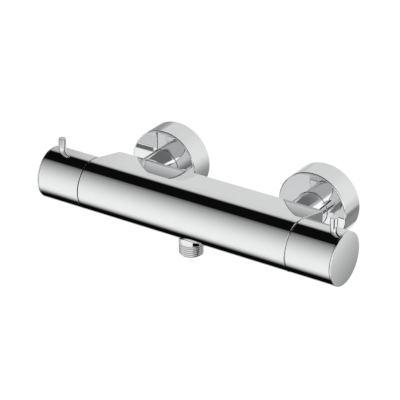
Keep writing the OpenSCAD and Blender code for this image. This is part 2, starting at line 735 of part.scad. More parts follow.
// Moving parts inside the cartridge
module regulating_carrier() color("ivory") right_end() difference() {
  union() {
    rod(carrier_r, carrier_0, carrier_1);
    translate([-key_w / 2, -key_r, carrier_0]) cube([key_w, 2 * key_r, carrier_1 - carrier_0]);
  }
  rod(carrier_pocket_r, carrier_0 - over, carrier_thread_0);
  rod(carrier_pocket_r + clip_groove, carrier_0 + carrier_lip - fit, carrier_0 + carrier_lip + clip_t - fit);
  rod(drive_thread_r + fit, carrier_thread_0 - over, carrier_1 + over);
}
module carrier_clip() color("gray") right_end()
  ring(clip_in_r, carrier_pocket_r + clip_groove - fit, carrier_0 + carrier_lip, carrier_0 + carrier_lip + clip_t - 2 * fit);
module overload_plunger() color("goldenrod") right_end() turned([
  [0, piston_1 + fit], [piston_r + slack, piston_1 + fit], [piston_r + slack, plunger_0], [plunger_r, plunger_0],
  [plunger_r, plunger_0 + plunger_t], [plunger_boss_r, plunger_0 + plunger_t],
  [plunger_boss_r, plunger_0 + plunger_t + plunger_boss], [0, plunger_0 + plunger_t + plunger_boss]
]);
module overload_spring() color("gray") right_end()
  coil_spring(overload_r, overload_wire_r, overload_turns, plunger_0 + plunger_t + fit, carrier_thread_0 - fit);
module wax_element() color("peru") right_end() turned([
  [0, element_flange_0 - element_len], [element_r - edge, element_flange_0 - element_len],
  [element_r, element_flange_0 - element_len + edge], [element_r, element_flange_0],
  [element_flange_r, element_flange_0], [element_flange_r, element_seat],
  [element_guide_r, element_seat], [element_guide_r, piston_0], [piston_r, piston_0], [piston_r, piston_1], [0, piston_1]
]);
shuttle_groove_z = (shuttle_0 + shuttle_1) / 2;
module mixing_shuttle() color("ivory") right_end() difference() {
  union() {
    ring(cart_seat_r + fit, cart_shuttle_r - fit, shuttle_0, shuttle_1);
    ring(element_guide_r + fit, cart_seat_r + fit + over / 2, element_seat + fit, element_seat + shuttle_web);
  }
  ring(cart_shuttle_r - shuttle_groove, cart_shuttle_r + over, shuttle_groove_z - shuttle_groove_w / 2, shuttle_groove_z + shuttle_groove_w / 2);
  for (i = [0 : window_count - 1]) rotate(360 * i / window_count)
    translate([shuttle_hole_circle, 0, 0]) rod(shuttle_hole_r, element_seat - over, element_seat + shuttle_web + over);
}
module shuttle_seal() color("black") right_end() o_ring(cart_shuttle_r - shuttle_groove, cart_shuttle_r - fit / 2, shuttle_groove_z);
module return_spring() color("gray") right_end()
  coil_spring(return_spring_r, return_wire_r, return_turns, cart_in + cart_end_wall + fit, element_flange_0 - fit);

// Flow cartridge: bush, spindle and the two discs
module flow_bush() color("goldenrod") left_end() difference() {
  union() {
    rod(flow_bush_r, flow_bush_0, flow_flange_0 + over);
    rod(flow_flange_r, flow_flange_0, flow_flange_0 + flow_flange);
    hexagon(flow_hex_af, flow_flange_0 + flow_flange - over, flow_bush_1);
  }
  difference() {
    rod(flow_room_r, flow_bush_0 - over, flow_shoulder);
    for (a = [180 - flow_lug_angle / 2 - 1 - flow_stop_angle, 180 + flow_turn + flow_lug_angle / 2 + 1])
      sector(flow_flange_turn_r + slack, flow_room_r + over, a, a + flow_stop_angle, flow_shoulder - flow_lug_t - 2 * slack, flow_shoulder + over);
  }
  rod(journal_r + fit, flow_shoulder - over, flow_bush_1 + over);
  rod(journal_seal_r, flow_flange_0 - journal_seal_w / 2, flow_flange_0 + journal_seal_w / 2);
  ring(flow_bush_r - land_seal_depth, flow_bush_r + over, bush_seal_z - land_seal_w / 2, bush_seal_z + land_seal_w / 2);
  for (a = [45 : 90 : 315]) rotate(a) translate([0, -flow_window_w / 2, flow_window_0])
    cube([flow_bore_r + over, flow_window_w, flow_window_1 - flow_window_0]);
}
module flow_seals() color("black") left_end() {
  o_ring(flow_bush_r - land_seal_depth, flow_bore_r, bush_seal_z);
  o_ring(journal_r + fit, journal_seal_r, flow_flange_0);
  ring(lip_seal_in, disc_r - slack, flow_seat + fit / 2, flow_seat + lip_seal_t);
}
module flow_spindle() color("goldenrod") left_end() difference() {
  union() {
    translate([-(drive_slot_w - 2 * slack) / 2, -drive_slot_len / 2 + slack, moving_disc_1 - drive_slot_depth + slack])
      cube([drive_slot_w - 2 * slack, drive_slot_len - 2 * slack, drive_slot_depth + drive_slot_w / 2]);
    rod(journal_r, moving_disc_1 + slack, spline_0);
    rod(flow_flange_turn_r, flow_shoulder - flow_lug_t - slack, flow_shoulder - slack);
    sector(journal_r - fit, flow_lug_r, 180 - flow_lug_angle / 2, 180 + flow_lug_angle / 2, flow_shoulder - flow_lug_t - slack, flow_shoulder - slack);
    splined(0, spline_0 - over / 2, spline_1);
  }
  rod(screw_r + fit, screw_tip - over, spline_1 + over);
}
module disc_windows(turn, z0, z1) for (a = [turn, turn + 180])
  sector(disc_window_in, disc_window_out, a - disc_window_angle / 2, a + disc_window_angle / 2, z0 - over, z1 + over);
module fixed_ceramic_disc() color("white") left_end() difference() {
  rod(disc_r, fixed_disc_0, fixed_disc_0 + disc_t);
  disc_windows(90, fixed_disc_0, fixed_disc_0 + disc_t);
}
module moving_ceramic_disc() color("white") left_end() difference() {
  rod(disc_r, moving_disc_0, moving_disc_1);
  disc_windows(0, moving_disc_0, moving_disc_1);
  translate([-drive_slot_w / 2, -drive_slot_len / 2, moving_disc_1 - drive_slot_depth]) cube([drive_slot_w, drive_slot_len, drive_slot_depth + over]);
}

// Inlets: tail, non-return valve, filter washer and union nut, the same on both sides
module inlet_tail() turned([
  [tail_lip_r, inlet_tail_0], [tail_thread_r - fit, inlet_tail_0],
  [tail_thread_r - fit, back_y - slack], [tail_tube_r, back_y - slack],
  [tail_tube_r, inlet_tail_collar], [tail_collar_r, inlet_tail_collar],
  [tail_collar_r, inlet_tail_1], [inlet_bore_r, inlet_tail_1],
  [inlet_bore_r, inlet_tail_0 + tail_lip], [tail_lip_r, inlet_tail_0 + tail_lip]
]);
module check_housing() difference() {
  rod(valve_r, valve_0, valve_1);
  rod(valve_r - valve_wall, valve_0 + valve_end, valve_seat);
  rod(valve_seat_r, valve_seat - over, valve_1 + over);
  rod(poppet_stem_r + fit, valve_0 - over, valve_0 + valve_end + over);
  for (a = [0 : 60 : 300]) rotate(a) translate([valve_hole_circle, 0, 0]) rod(valve_hole_r, valve_0 - over, valve_0 + valve_end + over);
}
module check_poppet() {
  bevelled_rod(poppet_r, poppet_0, poppet_0 + poppet_t, edge);
  rod(poppet_stem_r, poppet_stem_0, poppet_0 + edge);
}
module check_spring() coil_spring(valve_spring_r, valve_wire_r, valve_turns, valve_0 + valve_end + fit, poppet_0 - fit);
module filter_washer() {
  ring(washer_in, washer_r, washer_0, washer_0 + washer_t);
  difference() {
    rod(washer_in + edge, washer_0 + washer_t / 2, washer_0 + washer_t / 2 + mesh_t);
    for (i = [-2 : 2]) for (j = [-2 : 2]) if (norm([i, j]) < 2.5)
      translate([i * mesh_step, j * mesh_step, 0]) rod(mesh_hole_r, washer_0, washer_0 + washer_t);
  }
}
module union_nut() turned([
  [tail_tube_r + slack, nut_0], [nut_r - nut_bevel, nut_0], [nut_r, nut_0 + nut_bevel],
  [nut_r, nut_1 - nut_bevel], [nut_r - nut_bevel, nut_1],
  [nut_bore_r, nut_1], [nut_bore_r, nut_0 + nut_lip], [tail_tube_r + slack, nut_0 + nut_lip]
]);

// Offset union: threaded at both ends, with the wall's tail set above the valve's end
module offset_outline() {
  lean = asin((offset_front_r - offset_back_r) / tail_rise);
  circle(r = offset_front_r);
  translate([0, -tail_rise]) circle(r = offset_back_r);
  polygon([
    offset_front_r * [cos(lean), -sin(lean)],
    [0, -tail_rise] + offset_back_r * [cos(lean), -sin(lean)],
    [0, -tail_rise] + offset_back_r * [-cos(lean), -sin(lean)],
    offset_front_r * [-cos(lean), -sin(lean)]
  ]);
}
module offset_union() difference() {
  union() {
    turned([
      [0, union_0], [union_thread_d / 2 - edge, union_0], [union_thread_d / 2, union_0 + edge],
      [union_thread_d / 2, offset_body_0 - relief_len], [relief_r, offset_body_0 - relief_len],
      [relief_r, offset_body_0 + over], [0, offset_body_0 + over]
    ]);
    intersection() {
      translate([0, 0, offset_body_0]) linear_extrude(offset_body_len) offset_outline();
      translate([-offset_af / 2, -2 * offset_front_r - tail_rise, offset_body_0])
        cube([offset_af, 4 * offset_front_r + tail_rise, offset_body_len]);
    }
    translate([0, -tail_rise, 0]) rod(tail_r, offset_body_1 - over, tail_len);
  }
  rod(union_bore_r, union_0 - over, offset_body_1 - offset_wall);
  translate([0, -tail_rise, 0]) rod(tail_bore_r, offset_body_0 + offset_wall, tail_len + over);
}

// Rosette: a deep round cover, open to the wall, that slides on the union nut
module rosette() difference() {
  bevelled_ring(nut_r + rosette_gap, rosette_r, -rosette_depth, 0, rosette_edge);
  ring(nut_r + rosette_gap + rosette_boss_wall, rosette_r - rosette_wall, rosette_wall - rosette_depth, over);
  ring(0, nut_r + rosette_gap + rosette_boss_wall + over, rosette_boss_len - rosette_depth, over);
  ring(nut_r, nut_r + rosette_gap + rosette_seal_depth, rosette_seal_y - rosette_seal_w / 2, rosette_seal_y + rosette_seal_w / 2);
}
module rosette_seal() o_ring(nut_r, nut_r + rosette_gap + rosette_seal_depth, rosette_seal_y);

module hot_inlet_tail() color("goldenrod") at_inlet(hot) inlet_tail();
module cold_inlet_tail() color("goldenrod") at_inlet(cold) inlet_tail();
module hot_union_nut() color("silver") at_inlet(hot) union_nut();
module cold_union_nut() color("silver") at_inlet(cold) union_nut();
module hot_filter_washer() color("dimgray") at_inlet(hot) filter_washer();
module cold_filter_washer() color("dimgray") at_inlet(cold) filter_washer();
module hot_check_housing() color("white") at_inlet(hot) check_housing();
module cold_check_housing() color("white") at_inlet(cold) check_housing();
module hot_check_poppet() color("steelblue") at_inlet(hot) check_poppet();
module cold_check_poppet() color("steelblue") at_inlet(cold) check_poppet();
module hot_check_spring() color("gray") at_inlet(hot) check_spring();
module cold_check_spring() color("gray") at_inlet(cold) check_spring();
module hot_offset_union() color("silver") at_inlet(hot) offset_union();
module cold_offset_union() color("silver") at_inlet(cold) offset_union();
module hot_rosette() color("silver") at_inlet(hot) rosette();
module cold_rosette() color("silver") at_inlet(cold) rosette();
module hot_rosette_seal() color("black") at_inlet(hot) rosette_seal();
module cold_rosette_seal() color("black") at_inlet(cold) rosette_seal();

valve_body();
outlet_nipple();
outlet_seal();
temperature_handle();
temperature_end_cap();
temperature_pin();
temperature_adapter();
temperature_screw();
temperature_guide_ring();
temperature_stop_ring();
safety_button();
safety_button_spring();
flow_handle();
flow_end_cap();
flow_pin();
flow_adapter();
flow_screw();
flow_guide_ring();
thermostat_housing();
thermostat_retaining_nut();
thermostat_seals();
thermostat_spindle();
regulating_carrier();
carrier_clip();
overload_plunger();
overload_spring();
wax_element();
mixing_shuttle();
shuttle_seal();
return_spring();
flow_bush();
flow_seals();
flow_spindle();
moving_ceramic_disc();
fixed_ceramic_disc();
hot_inlet_tail();
cold_inlet_tail();
hot_union_nut();
cold_union_nut();
hot_filter_washer();
cold_filter_washer();
hot_check_housing();
cold_check_housing();
hot_check_poppet();
cold_check_poppet();
hot_check_spring();
cold_check_spring();
hot_offset_union();
cold_offset_union();
hot_rosette();
cold_rosette();
hot_rosette_seal();
cold_rosette_seal();
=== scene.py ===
# Thermostatic shower valve in polished chrome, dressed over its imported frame.
# A piece is worked out in millimetres in a frame of its own, and placed in the valve's frame in metres.
import json
import math

import bpy
from mathutils import Matrix, Vector
import numpy as np


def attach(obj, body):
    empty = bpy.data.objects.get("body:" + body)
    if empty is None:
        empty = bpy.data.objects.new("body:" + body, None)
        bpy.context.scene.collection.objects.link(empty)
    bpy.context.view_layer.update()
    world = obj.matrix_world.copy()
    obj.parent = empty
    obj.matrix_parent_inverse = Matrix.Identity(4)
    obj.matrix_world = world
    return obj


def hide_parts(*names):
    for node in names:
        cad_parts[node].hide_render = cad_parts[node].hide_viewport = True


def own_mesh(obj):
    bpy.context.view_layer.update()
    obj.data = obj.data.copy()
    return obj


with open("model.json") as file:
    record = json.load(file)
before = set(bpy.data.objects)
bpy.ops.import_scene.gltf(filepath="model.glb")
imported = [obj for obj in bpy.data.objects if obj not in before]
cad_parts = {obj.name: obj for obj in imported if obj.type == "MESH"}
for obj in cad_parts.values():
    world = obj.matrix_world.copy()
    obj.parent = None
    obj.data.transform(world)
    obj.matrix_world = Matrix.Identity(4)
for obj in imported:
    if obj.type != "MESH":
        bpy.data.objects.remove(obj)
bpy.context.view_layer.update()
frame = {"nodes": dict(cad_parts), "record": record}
print("frame loaded:", len(frame["nodes"]), "nodes")

layout = {"inletHalf": 75, "barY": -90, "barZ": -7, "inletZ": -10, "outletForward": 2.5}
controls = {-1: "flow", 1: "temperature"}  # by side: -1 is the left and 1 the right
supplies = {-1: "hot", 1: "cold"}

# A place is an origin and the directions of its local x and z
barPlace = ((0, layout["barY"], layout["barZ"]), (0, 1, 0), (1, 0, 0))  # x to the wall, z to the right
outletPlace = ((0, layout["barY"] - layout["outletForward"], layout["barZ"]), (1, 0, 0), (0, 0, -1))


def endPlace(side):  # z out along the bar to one of its ends
    return ((0, layout["barY"], layout["barZ"]), (0, 0, -1), (side, 0, 0))


def uprightPlace(x):  # z straight up from the bar's axis
    return ((x, layout["barY"], layout["barZ"]), (1, 0, 0), (0, 0, 1))


def inletPlace(side):  # z into the wall at a supply
    return ((side * layout["inletHalf"], 0, layout["inletZ"]), (1, 0, 0), (0, 1, 0))


# Camera, at the photograph's viewing angle
viewpoint = {
    "azimuth": 33.405, "elevation": 26.757, "distance": 1666.335, "aimX": 6.969, "aimZ": 14.34,
    "lens": 181.802, "sensor": 36, "near": 0.05, "far": 100,
}


def setCamera():
    v = viewpoint
    azimuth, elevation = math.radians(v["azimuth"]), math.radians(v["elevation"])
    level = math.cos(elevation)
    back = np.array([math.sin(azimuth) * level, -math.cos(azimuth) * level, math.sin(elevation)])
    right = np.array([math.cos(azimuth), math.sin(azimuth), 0])
    up = np.cross(back, right)
    eye = np.array([v["aimX"], layout["barY"], v["aimZ"] + layout["barZ"]]) + back * v["distance"]
    data = bpy.data.cameras.new("camera")
    data.lens, data.sensor_width, data.sensor_fit = v["lens"], v["sensor"], "HORIZONTAL"
    data.clip_start, data.clip_end = v["near"], v["far"]
    camera = bpy.data.objects.new("camera", data)
    turn = np.eye(4)
    turn[:3, 0], turn[:3, 1], turn[:3, 2], turn[:3, 3] = right, up, back, eye / 1000
    camera.matrix_world = Matrix(turn.tolist())
    bpy.context.scene.collection.objects.link(camera)
    bpy.context.scene.camera = camera


setCamera()
print("camera set")


class Flow:  # a node's output that can stand in a sum
    def __init__(self, finish, socket):
        self.finish, self.socket = finish, socket

    def join(self, operation, first, second):
        return self.finish.maths(operation, first, second)

    def __add__(self, other): return self.join("ADD", self, other)
    def __radd__(self, other): return self.join("ADD", other, self)
    def __sub__(self, other): return self.join("SUBTRACT", self, other)
    def __rsub__(self, other): return self.join("SUBTRACT", other, self)
    def __mul__(self, other): return self.join("MULTIPLY", self, other)
    def __rmul__(self, other): return self.join("MULTIPLY", other, self)
    def __truediv__(self, other): return self.join("DIVIDE", self, other)
    def __pow__(self, other): return self.join("POWER", self, other)


class Outputs:  # a made node, whose outputs are read by name or number
    def __init__(self, finish, made):
        self.finish, self.made = finish, made

    def __getitem__(self, key):
        return Flow(self.finish, self.made.outputs[key])


class Finish:  # one material, or the world, built node by node
    def __init__(self, name, world=False):
        self.data = bpy.data.worlds.new(name) if world else bpy.data.materials.new(name)
        self.data.use_nodes = True
        self.tree = self.data.node_tree
        self.tree.nodes.clear()

    def node(self, kind, settings=None, sockets=None):
        made = self.tree.nodes.new(kind)
        for key, value in (settings or {}).items():
            if key == "stops":  # of a float curve, straight between them
                line = made.mapping.curves[0]
                while len(line.points) < len(value):
                    line.points.new(0.5, 0.5)
                for spot, place in zip(line.points, value):
                    spot.location, spot.handle_type = place, "VECTOR"
                made.mapping.extend = "HORIZONTAL"
                made.mapping.update()
            else:
                setattr(made, key, value)
        for key, value in (sockets or {}).items():
            if isinstance(value, Flow):
                self.tree.links.new(value.socket, made.inputs[key])
            else:
                made.inputs[key].default_value = value
        return Outputs(self, made)

    def maths(self, operation, first, second=0.0):
        return self.node("ShaderNodeMath", {"operation": operation}, {0: first, 1: second})[0]

    def place(self):
        return self.node("ShaderNodeTexCoord")["Object"]

    def axes(self):  # x, y and z of the place
        split = self.node("ShaderNodeSeparateXYZ", {}, {0: self.place()})
        return split[0], split[1], split[2]

    def noise(self, scale, detail, rough=0.5):
        return self.node("ShaderNodeTexNoise", {}, {
            "Vector": self.place(), "Scale": scale, "Detail": detail, "Roughness": rough})[0]

    def ramp(self, value, outside, inside):  # from 0 at the first place to 1 at the second
        return self.node("ShaderNodeMapRange", {}, {"Value": value, "From Min": outside, "From Max": inside})[0]

    def blend(self, mask, first, second):
        return self.node("ShaderNodeMix", {"data_type": "RGBA"}, {0: mask, 6: (*first, 1), 7: (*second, 1)})[2]

    def bump(self, height, strength, distance):
        return self.node("ShaderNodeBump", {}, {"Height": height, "Strength": strength, "Distance": distance})[0]

    def surface(self, sockets):
        return self.output(self.node("ShaderNodeBsdfPrincipled", {}, sockets)[0])

    def glow(self, light):
        return self.node("ShaderNodeEmission", {}, {"Color": light, "Strength": 1.0})[0]

    def mixed(self, mask, first, second):
        return self.node("ShaderNodeMixShader", {}, {0: mask, 1: first, 2: second})[0]

    def output(self, shader):
        self.node("ShaderNodeOutputMaterial", {}, {"Surface": shader})
        return self.data


# Finishes. A grain is its waves per metre, because Object coordinates are in metres, its detail and its roughness.
# A bump is its strength and its depth in metres. Roughness goes from smooth up by as much as the spread.
chromeLook = {
    "clear": (0.835, 0.84, 0.845), "veil": (0.80, 0.806, 0.812), "smooth": 0.028, "spread": 0.032,
    "cloud": (55, 3), "fleck": (210, 2), "hair": (2600, 1), "hairShare": 0.3, "wave": (26, 1), "bump": (0.35, 0.00002),
}
# Painted shade down in a thread's roots: a darker colour there, with more roughness
rootLook = {"colour": (0.5, 0.49, 0.48), "spread": 0.2, "grain": (900, 2), "grainSpread": 0.04}  # down in a thread
brassLook = {
    "bright": (0.80, 0.61, 0.31), "dull": (0.62, 0.44, 0.2), "smooth": 0.22, "spread": 0.22,
    "stain": (160, 4, 0.6), "stainShare": 1.6, "rings": 900, "grit": (1900, 2), "bump": (0.25, 0.00003),
}
copperLook = {
    "bright": (0.82, 0.48, 0.31), "dull": (0.52, 0.27, 0.16), "smooth": 0.2, "spread": 0.3,
    "stain": (210, 4, 0.65), "grit": (1500, 2), "bump": (0.2, 0.00003),
}
steelLook = {
    "bright": (0.62, 0.62, 0.64), "dull": (0.42, 0.42, 0.45), "smooth": 0.2, "spread": 0.2,
    "stain": (700, 3), "grit": (3000, 1), "bump": (0.15, 0.00002),
}
rubberLook = {
    "clean": (0.022, 0.022, 0.024), "dusty": (0.07, 0.07, 0.07), "smooth": 0.5, "spread": 0.25,
    "dust": (420, 4, 0.7), "grit": (2400, 2), "bump": (0.3, 0.00004),
}
plasticLook = {"smooth": 0.38, "spread": 0.14, "flow": (130, 3, 0.55), "grit": (3200, 2), "bump": (0.22, 0.00003)}
plasticColours = {  # new and worn
    "cartridge": ((0.83, 0.80, 0.70), (0.74, 0.70, 0.58)), "white": ((0.84, 0.84, 0.83), (0.76, 0.76, 0.75)),
    "red": ((0.62, 0.03, 0.025), (0.5, 0.02, 0.02)), "blue": ((0.03, 0.16, 0.5), (0.02, 0.12, 0.4)),
}
ceramicLook = {
    "pale": (0.9, 0.9, 0.885), "shade": (0.84, 0.835, 0.82), "smooth": 0.16, "spread": 0.14,
    "cloud": (240, 3), "lap": (1800, 3), "bump": (0.1, 0.00001),
}


def polishedChrome():
    m, look = Finish("polishedChrome"), chromeLook
    veil = m.noise(*look["cloud"]) * m.noise(*look["fleck"])
    hairs = m.noise(*look["hair"])
    return m.surface({
        "Base Color": m.blend(veil, look["clear"], look["veil"]), "Metallic": 1.0,
        "Roughness": look["smooth"] + look["spread"] * (veil * (1 - look["hairShare"]) + hairs * look["hairShare"]),
        "Normal": m.bump(m.noise(*look["wave"]), *look["bump"])})


def threadRootShadeChrome(centre, root, crest):  # painted shade down in the roots of an upright thread: darker there, and rougher
    m, look = Finish("threadRootShadeChrome"), chromeLook
    x, y, _ = m.axes()
    reach = ((x - centre[0]) ** 2 + (y - centre[1]) ** 2) ** 0.5
    deep = m.ramp(reach, crest, root)
    stain = rootLook["grainSpread"] * m.noise(*rootLook["grain"])
    return m.surface({
        # the darker colour in the roots is painted shade
        "Base Color": m.blend(deep, look["clear"], rootLook["colour"]), "Metallic": 1.0,
        "Roughness": look["smooth"] + rootLook["spread"] * deep + stain,
        "Normal": m.bump(m.noise(*look["wave"]), *look["bump"])})


def turnedBrass(axis):
    m, look = Finish("turnedBrass" + "xyz"[axis]), brassLook
    rings = m.maths("SINE", m.axes()[axis] * (look["rings"] * math.tau))
    stain = m.noise(*look["stain"])
    return m.surface({
        "Base Color": m.blend(stain * stain * look["stainShare"], look["bright"], look["dull"]), "Metallic": 1.0,
        "Roughness": look["smooth"] + look["spread"] * stain,
        "Normal": m.bump(rings + m.noise(*look["grit"]), *look["bump"])})


def stainedMetal(name, look):  # the wax element's copper and the springs' steel
    m = Finish(name)
    stain = m.noise(*look["stain"])
    return m.surface({
        "Base Color": m.blend(stain, look["bright"], look["dull"]), "Metallic": 1.0,
        "Roughness": look["smooth"] + look["spread"] * stain, "Normal": m.bump(m.noise(*look["grit"]), *look["bump"])})


def sealRubber():
    m, look = Finish("sealRubber"), rubberLook
    dust = m.noise(*look["dust"])
    return m.surface({
        "Base Color": m.blend(dust * dust, look["clean"], look["dusty"]),
        "Roughness": look["smooth"] + look["spread"] * dust, "Normal": m.bump(m.noise(*look["grit"]), *look["bump"])})


def mouldedPlastic(name, colour, worn):
    m, look = Finish(name), plasticLook
    flow = m.noise(*look["flow"])
    return m.surface({
        "Base Color": m.blend(flow, colour, worn),
        "Roughness": look["smooth"] + look["spread"] * flow, "Normal": m.bump(m.noise(*look["grit"]), *look["bump"])})


def lappedCeramic():
    m, look = Finish("lappedCeramic"), ceramicLook
    lap = m.noise(*look["lap"])
    return m.surface({
        "Base Color": m.blend(m.noise(*look["cloud"]), look["pale"], look["shade"]),
        "Roughness": look["smooth"] + look["spread"] * lap, "Normal": m.bump(lap, *look["bump"])})


chrome = polishedChrome()
finishes = {
    "polished_chrome": chrome, "turned_brass": turnedBrass(0), "spring_steel": stainedMetal("springSteel", steelLook),
    "wax_element_copper": stainedMetal("waxElementCopper", copperLook), "seal_rubber": sealRubber(),
    "ceramic": lappedCeramic(),
}
for colour, shades in plasticColours.items():
    finishes[colour + "_plastic"] = mouldedPlastic(colour + "Plastic", *shades)
tailBrass = turnedBrass(1)
print("finishes made:", len(finishes) + 1)


def dressNodes():
    for part in frame["record"]["subparts"]:
        shown = frame["nodes"][part["node"]]
        look = tailBrass if part["node"].endswith("inlet_tail") else finishes[part["material_slot"]]
        for held in shown.material_slots:
            held.material = look
        if not shown.material_slots:
            shown.data.materials.append(look)


dressNodes()
print("inner pieces dressed")


class Shell:  # points, outward normals and faces of one piece, gathered sheet by sheet
    def __init__(self):
        self.points, self.normals, self.faces, self.count = [], [], [], 0

    def add(self, points, normals):
        index = self.count + np.arange(points[..., 0].size).reshape(points.shape[:-1])
        self.points.append(points.reshape(-1, 3))
        self.normals.append(normals.reshape(-1, 3))
        self.count += index.size
        return index

    def weave(self, index, wrapRows=False, keep=None):
        grid = np.vstack([index, index[:1]]) if wrapRows else index
        grid = np.hstack([grid, grid[:, :1]])
        quads = np.stack([grid[:-1, :-1], grid[:-1, 1:], grid[1:, 1:], grid[1:, :-1]], -1)
        self.faces.append((quads if keep is None else quads[keep]).reshape(-1, 4))

    def closeAt(self, ring, point, normal):  # a fan from a ring to one point
        centre = self.add(np.array([[point]], float), np.array([[normal]], float))[0, 0]
        self.faces.append(np.stack([ring, np.roll(ring, -1), np.full(ring.size, centre)], -1))


shortest, nearZero = 1e-12, 1e-6  # guards against dividing by nothing
fineEdge, crispEdge, softEdge, fullEdge, deepEdge = 0.1, 0.2, 0.3, 0.4, 0.6  # roundings of turned edges


def unit(vectors):
    return vectors / np.maximum(np.linalg.norm(vectors, axis=-1, keepdims=True), shortest)


# A vertex's normal is the cross product of the chord between its neighbours round a ring and the chord between its
# neighbours from ring to ring
def chordNormals(grid, wrapRows=False):
    rows = np.roll(grid, -1, 0) - np.roll(grid, 1, 0)
    columns = np.roll(grid, -1, 1) - np.roll(grid, 1, 1)
    if not wrapRows:
        rows[0], rows[-1] = grid[1] - grid[0], grid[-1] - grid[-2]
    return unit(np.cross(columns, rows))


# A profile of [radius, height, rounding] corners with the solid on its left. At a corner the points are
# centre +- rounding * (cos a, sin a), with a going evenly from the normal of one edge to that of the next
def rounded(corners, closed=True, steps=5):
    corners = np.array(corners, float)
    spots, roundings = corners[:, :2], corners[:, 2]
    out = []
    for i, (spot, rounding) in enumerate(zip(spots, roundings)):
        if not closed and i in (0, len(spots) - 1):
            out.append([spot])
            continue
        before, after = unit(spot - spots[i - 1]), unit(spots[(i + 1) % len(spots)] - spot)
        turn = math.atan2(before[0] * after[1] - before[1] * after[0], before @ after)
        if rounding == 0 or abs(turn) < nearZero:
            out.append([spot])
            continue
        sign = math.copysign(1, turn)
        first = math.atan2(-before[0], before[1])
        start = spot - before * rounding * abs(math.tan(turn / 2))
        centre = start - sign * rounding * np.array([math.cos(first), math.sin(first)])
        a = first + turn * np.linspace(0, 1, steps + 1)
        out.append(centre + sign * rounding * np.stack([np.cos(a), np.sin(a)], -1))
    return np.concatenate(out)


# A turned surface: (r cos a, r sin a, h) for each profile point [r, h] and each angle a
def turnedGrid(profile, a):
    return np.stack([profile[:, :1] * np.cos(a), profile[:, :1] * np.sin(a), np.repeat(profile[:, 1:], a.size, 1)], -1)


def evenAngles(columns):  # once round, without the last angle, which is the first one again
    return math.tau * np.arange(columns) / columns


def turnedShell(corners, columns, closed=True):
    grid = turnedGrid(rounded(corners, closed), evenAngles(columns))
    normals = chordNormals(grid, closed)
    shell = Shell()
    if closed:
        shell.weave(shell.add(grid, normals), wrapRows=True)
    else:
        index = shell.add(grid[1:-1], normals[1:-1])
        shell.weave(index)
        shell.closeAt(index[0], grid[0, 0], normals[1].mean(0))
        shell.closeAt(index[-1], grid[-1, 0], normals[-2].mean(0))
    return shell


# Writes a shell as one closed mesh: faces turned to their vertices' normals, and the whole turned outwards, with each
# point placed as origin + x u + y (w x u) + z w
def finishPiece(shell, name, place, body, nodes, material=chrome):
    origin, across, along = (np.array(v, float) for v in place)
    turn = np.stack([across, np.cross(along, across), along])
    points = np.concatenate(shell.points) @ turn + origin
    normals = np.concatenate(shell.normals) @ turn
    groups = []
    volume = 0.0
    for group in shell.faces:
        corner = points[group]
        area = np.cross(corner[:, 1] - corner[:, 0], corner[:, 2] - corner[:, 0])
        if group.shape[1] == 4:
            area = area + np.cross(corner[:, 2] - corner[:, 0], corner[:, 3] - corner[:, 0])
        facing = (area * normals[group].sum(1)).sum(-1)
        flip = facing.sum() < 0
        groups.append(group[:, ::-1] if flip else group)
        volume += (corner.mean(1) * area).sum() * (-1 if flip else 1)
    if volume < 0:
        normals = -normals
        groups = [group[:, ::-1] for group in groups]
    used = np.unique(np.concatenate([group.ravel() for group in groups]))
    renumbered = np.zeros(len(points), int)
    renumbered[used] = np.arange(used.size)
    faces = [face for group in groups for face in renumbered[group].tolist()]
    mesh = bpy.data.meshes.new(name)
    mesh.from_pydata((points[used] / 1000).tolist(), [], faces)
    mesh.polygons.foreach_set("use_smooth", np.ones(len(mesh.polygons), bool))
    mesh.normals_split_custom_set_from_vertices(normals[used].tolist())
    mesh.materials.append(material)
    mesh.update()
    piece = bpy.data.objects.new(name, mesh)
    bpy.context.scene.collection.objects.link(piece)
    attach(piece, body)
    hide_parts(*nodes)
    return piece


# The body: a round bar with a flat shelf behind it, with its bores, its spigots and the outlet's collar
bodyForm = {
    "half": 102.25, "radius": 23, "depth": 41, "shelfAngle": 13, "underAngle": 4, "edgeRadius": 2.5, "edgePoints": 7,
    "cornerRadius": 4, "cornerRows": (0, 0.15, 0.3, 0.45, 0.6, 0.7), "shelfRows": (0.33, 0.66), "frontSteps": 112,
    "bevel": 0.6, "bevelDepth": 0.85, "bevelRows": (1, 0.88, 0.75, 0.5, 0.25, 0.12, 0),
    "shelfBevel": 0.3, "bevelFrom": 94.95, "bevelPassage": 15,  # a share, then degrees as for holeFront
    "underRows": (5, 8.5, 12, 24), "holeHalf": 17, "holeSteps": 24, "holeRings": 5,
    "holeFront": 222.3, "holeBack": 12,  # degrees round the axis from the wall over the top, and one of underRows
    "collarRadius": 10.6, "collarRow": 24, "collarEnd": 25.2, "collarFillet": 0.8, "filletRows": 6,
    "neckRadius": 9.3, "neckEdge": 0.25, "neckTop": 20.1, "chamberRadius": 8, "chamberTop": 12.5,
}
bodyBores = [  # radius, place along the axis, rounding, from the right spigot through the bores to the left one
    (19.6, 102.25, 0), (19, 102.25, 0.3), (19, 109.25, 0.5), (16, 109.25, 0.5), (16, 38.1, 0.5), (12, 38.1, 0.5),
    (12, 8.2, 0.5), (7, 8.2, 0.5), (7, -72, 0.5), (12, -72, 0.5), (12, -77, 0.5), (14.5, -77, 0.5), (14.5, -88, 0.5),
    (12, -88, 0.5), (12, -99.9, 0.5), (16, -99.9, 0.5), (16, -109.25, 0.5), (19, -109.25, 0.5), (19, -102.25, 0.3),
    (19.6, -102.25, 0),
]


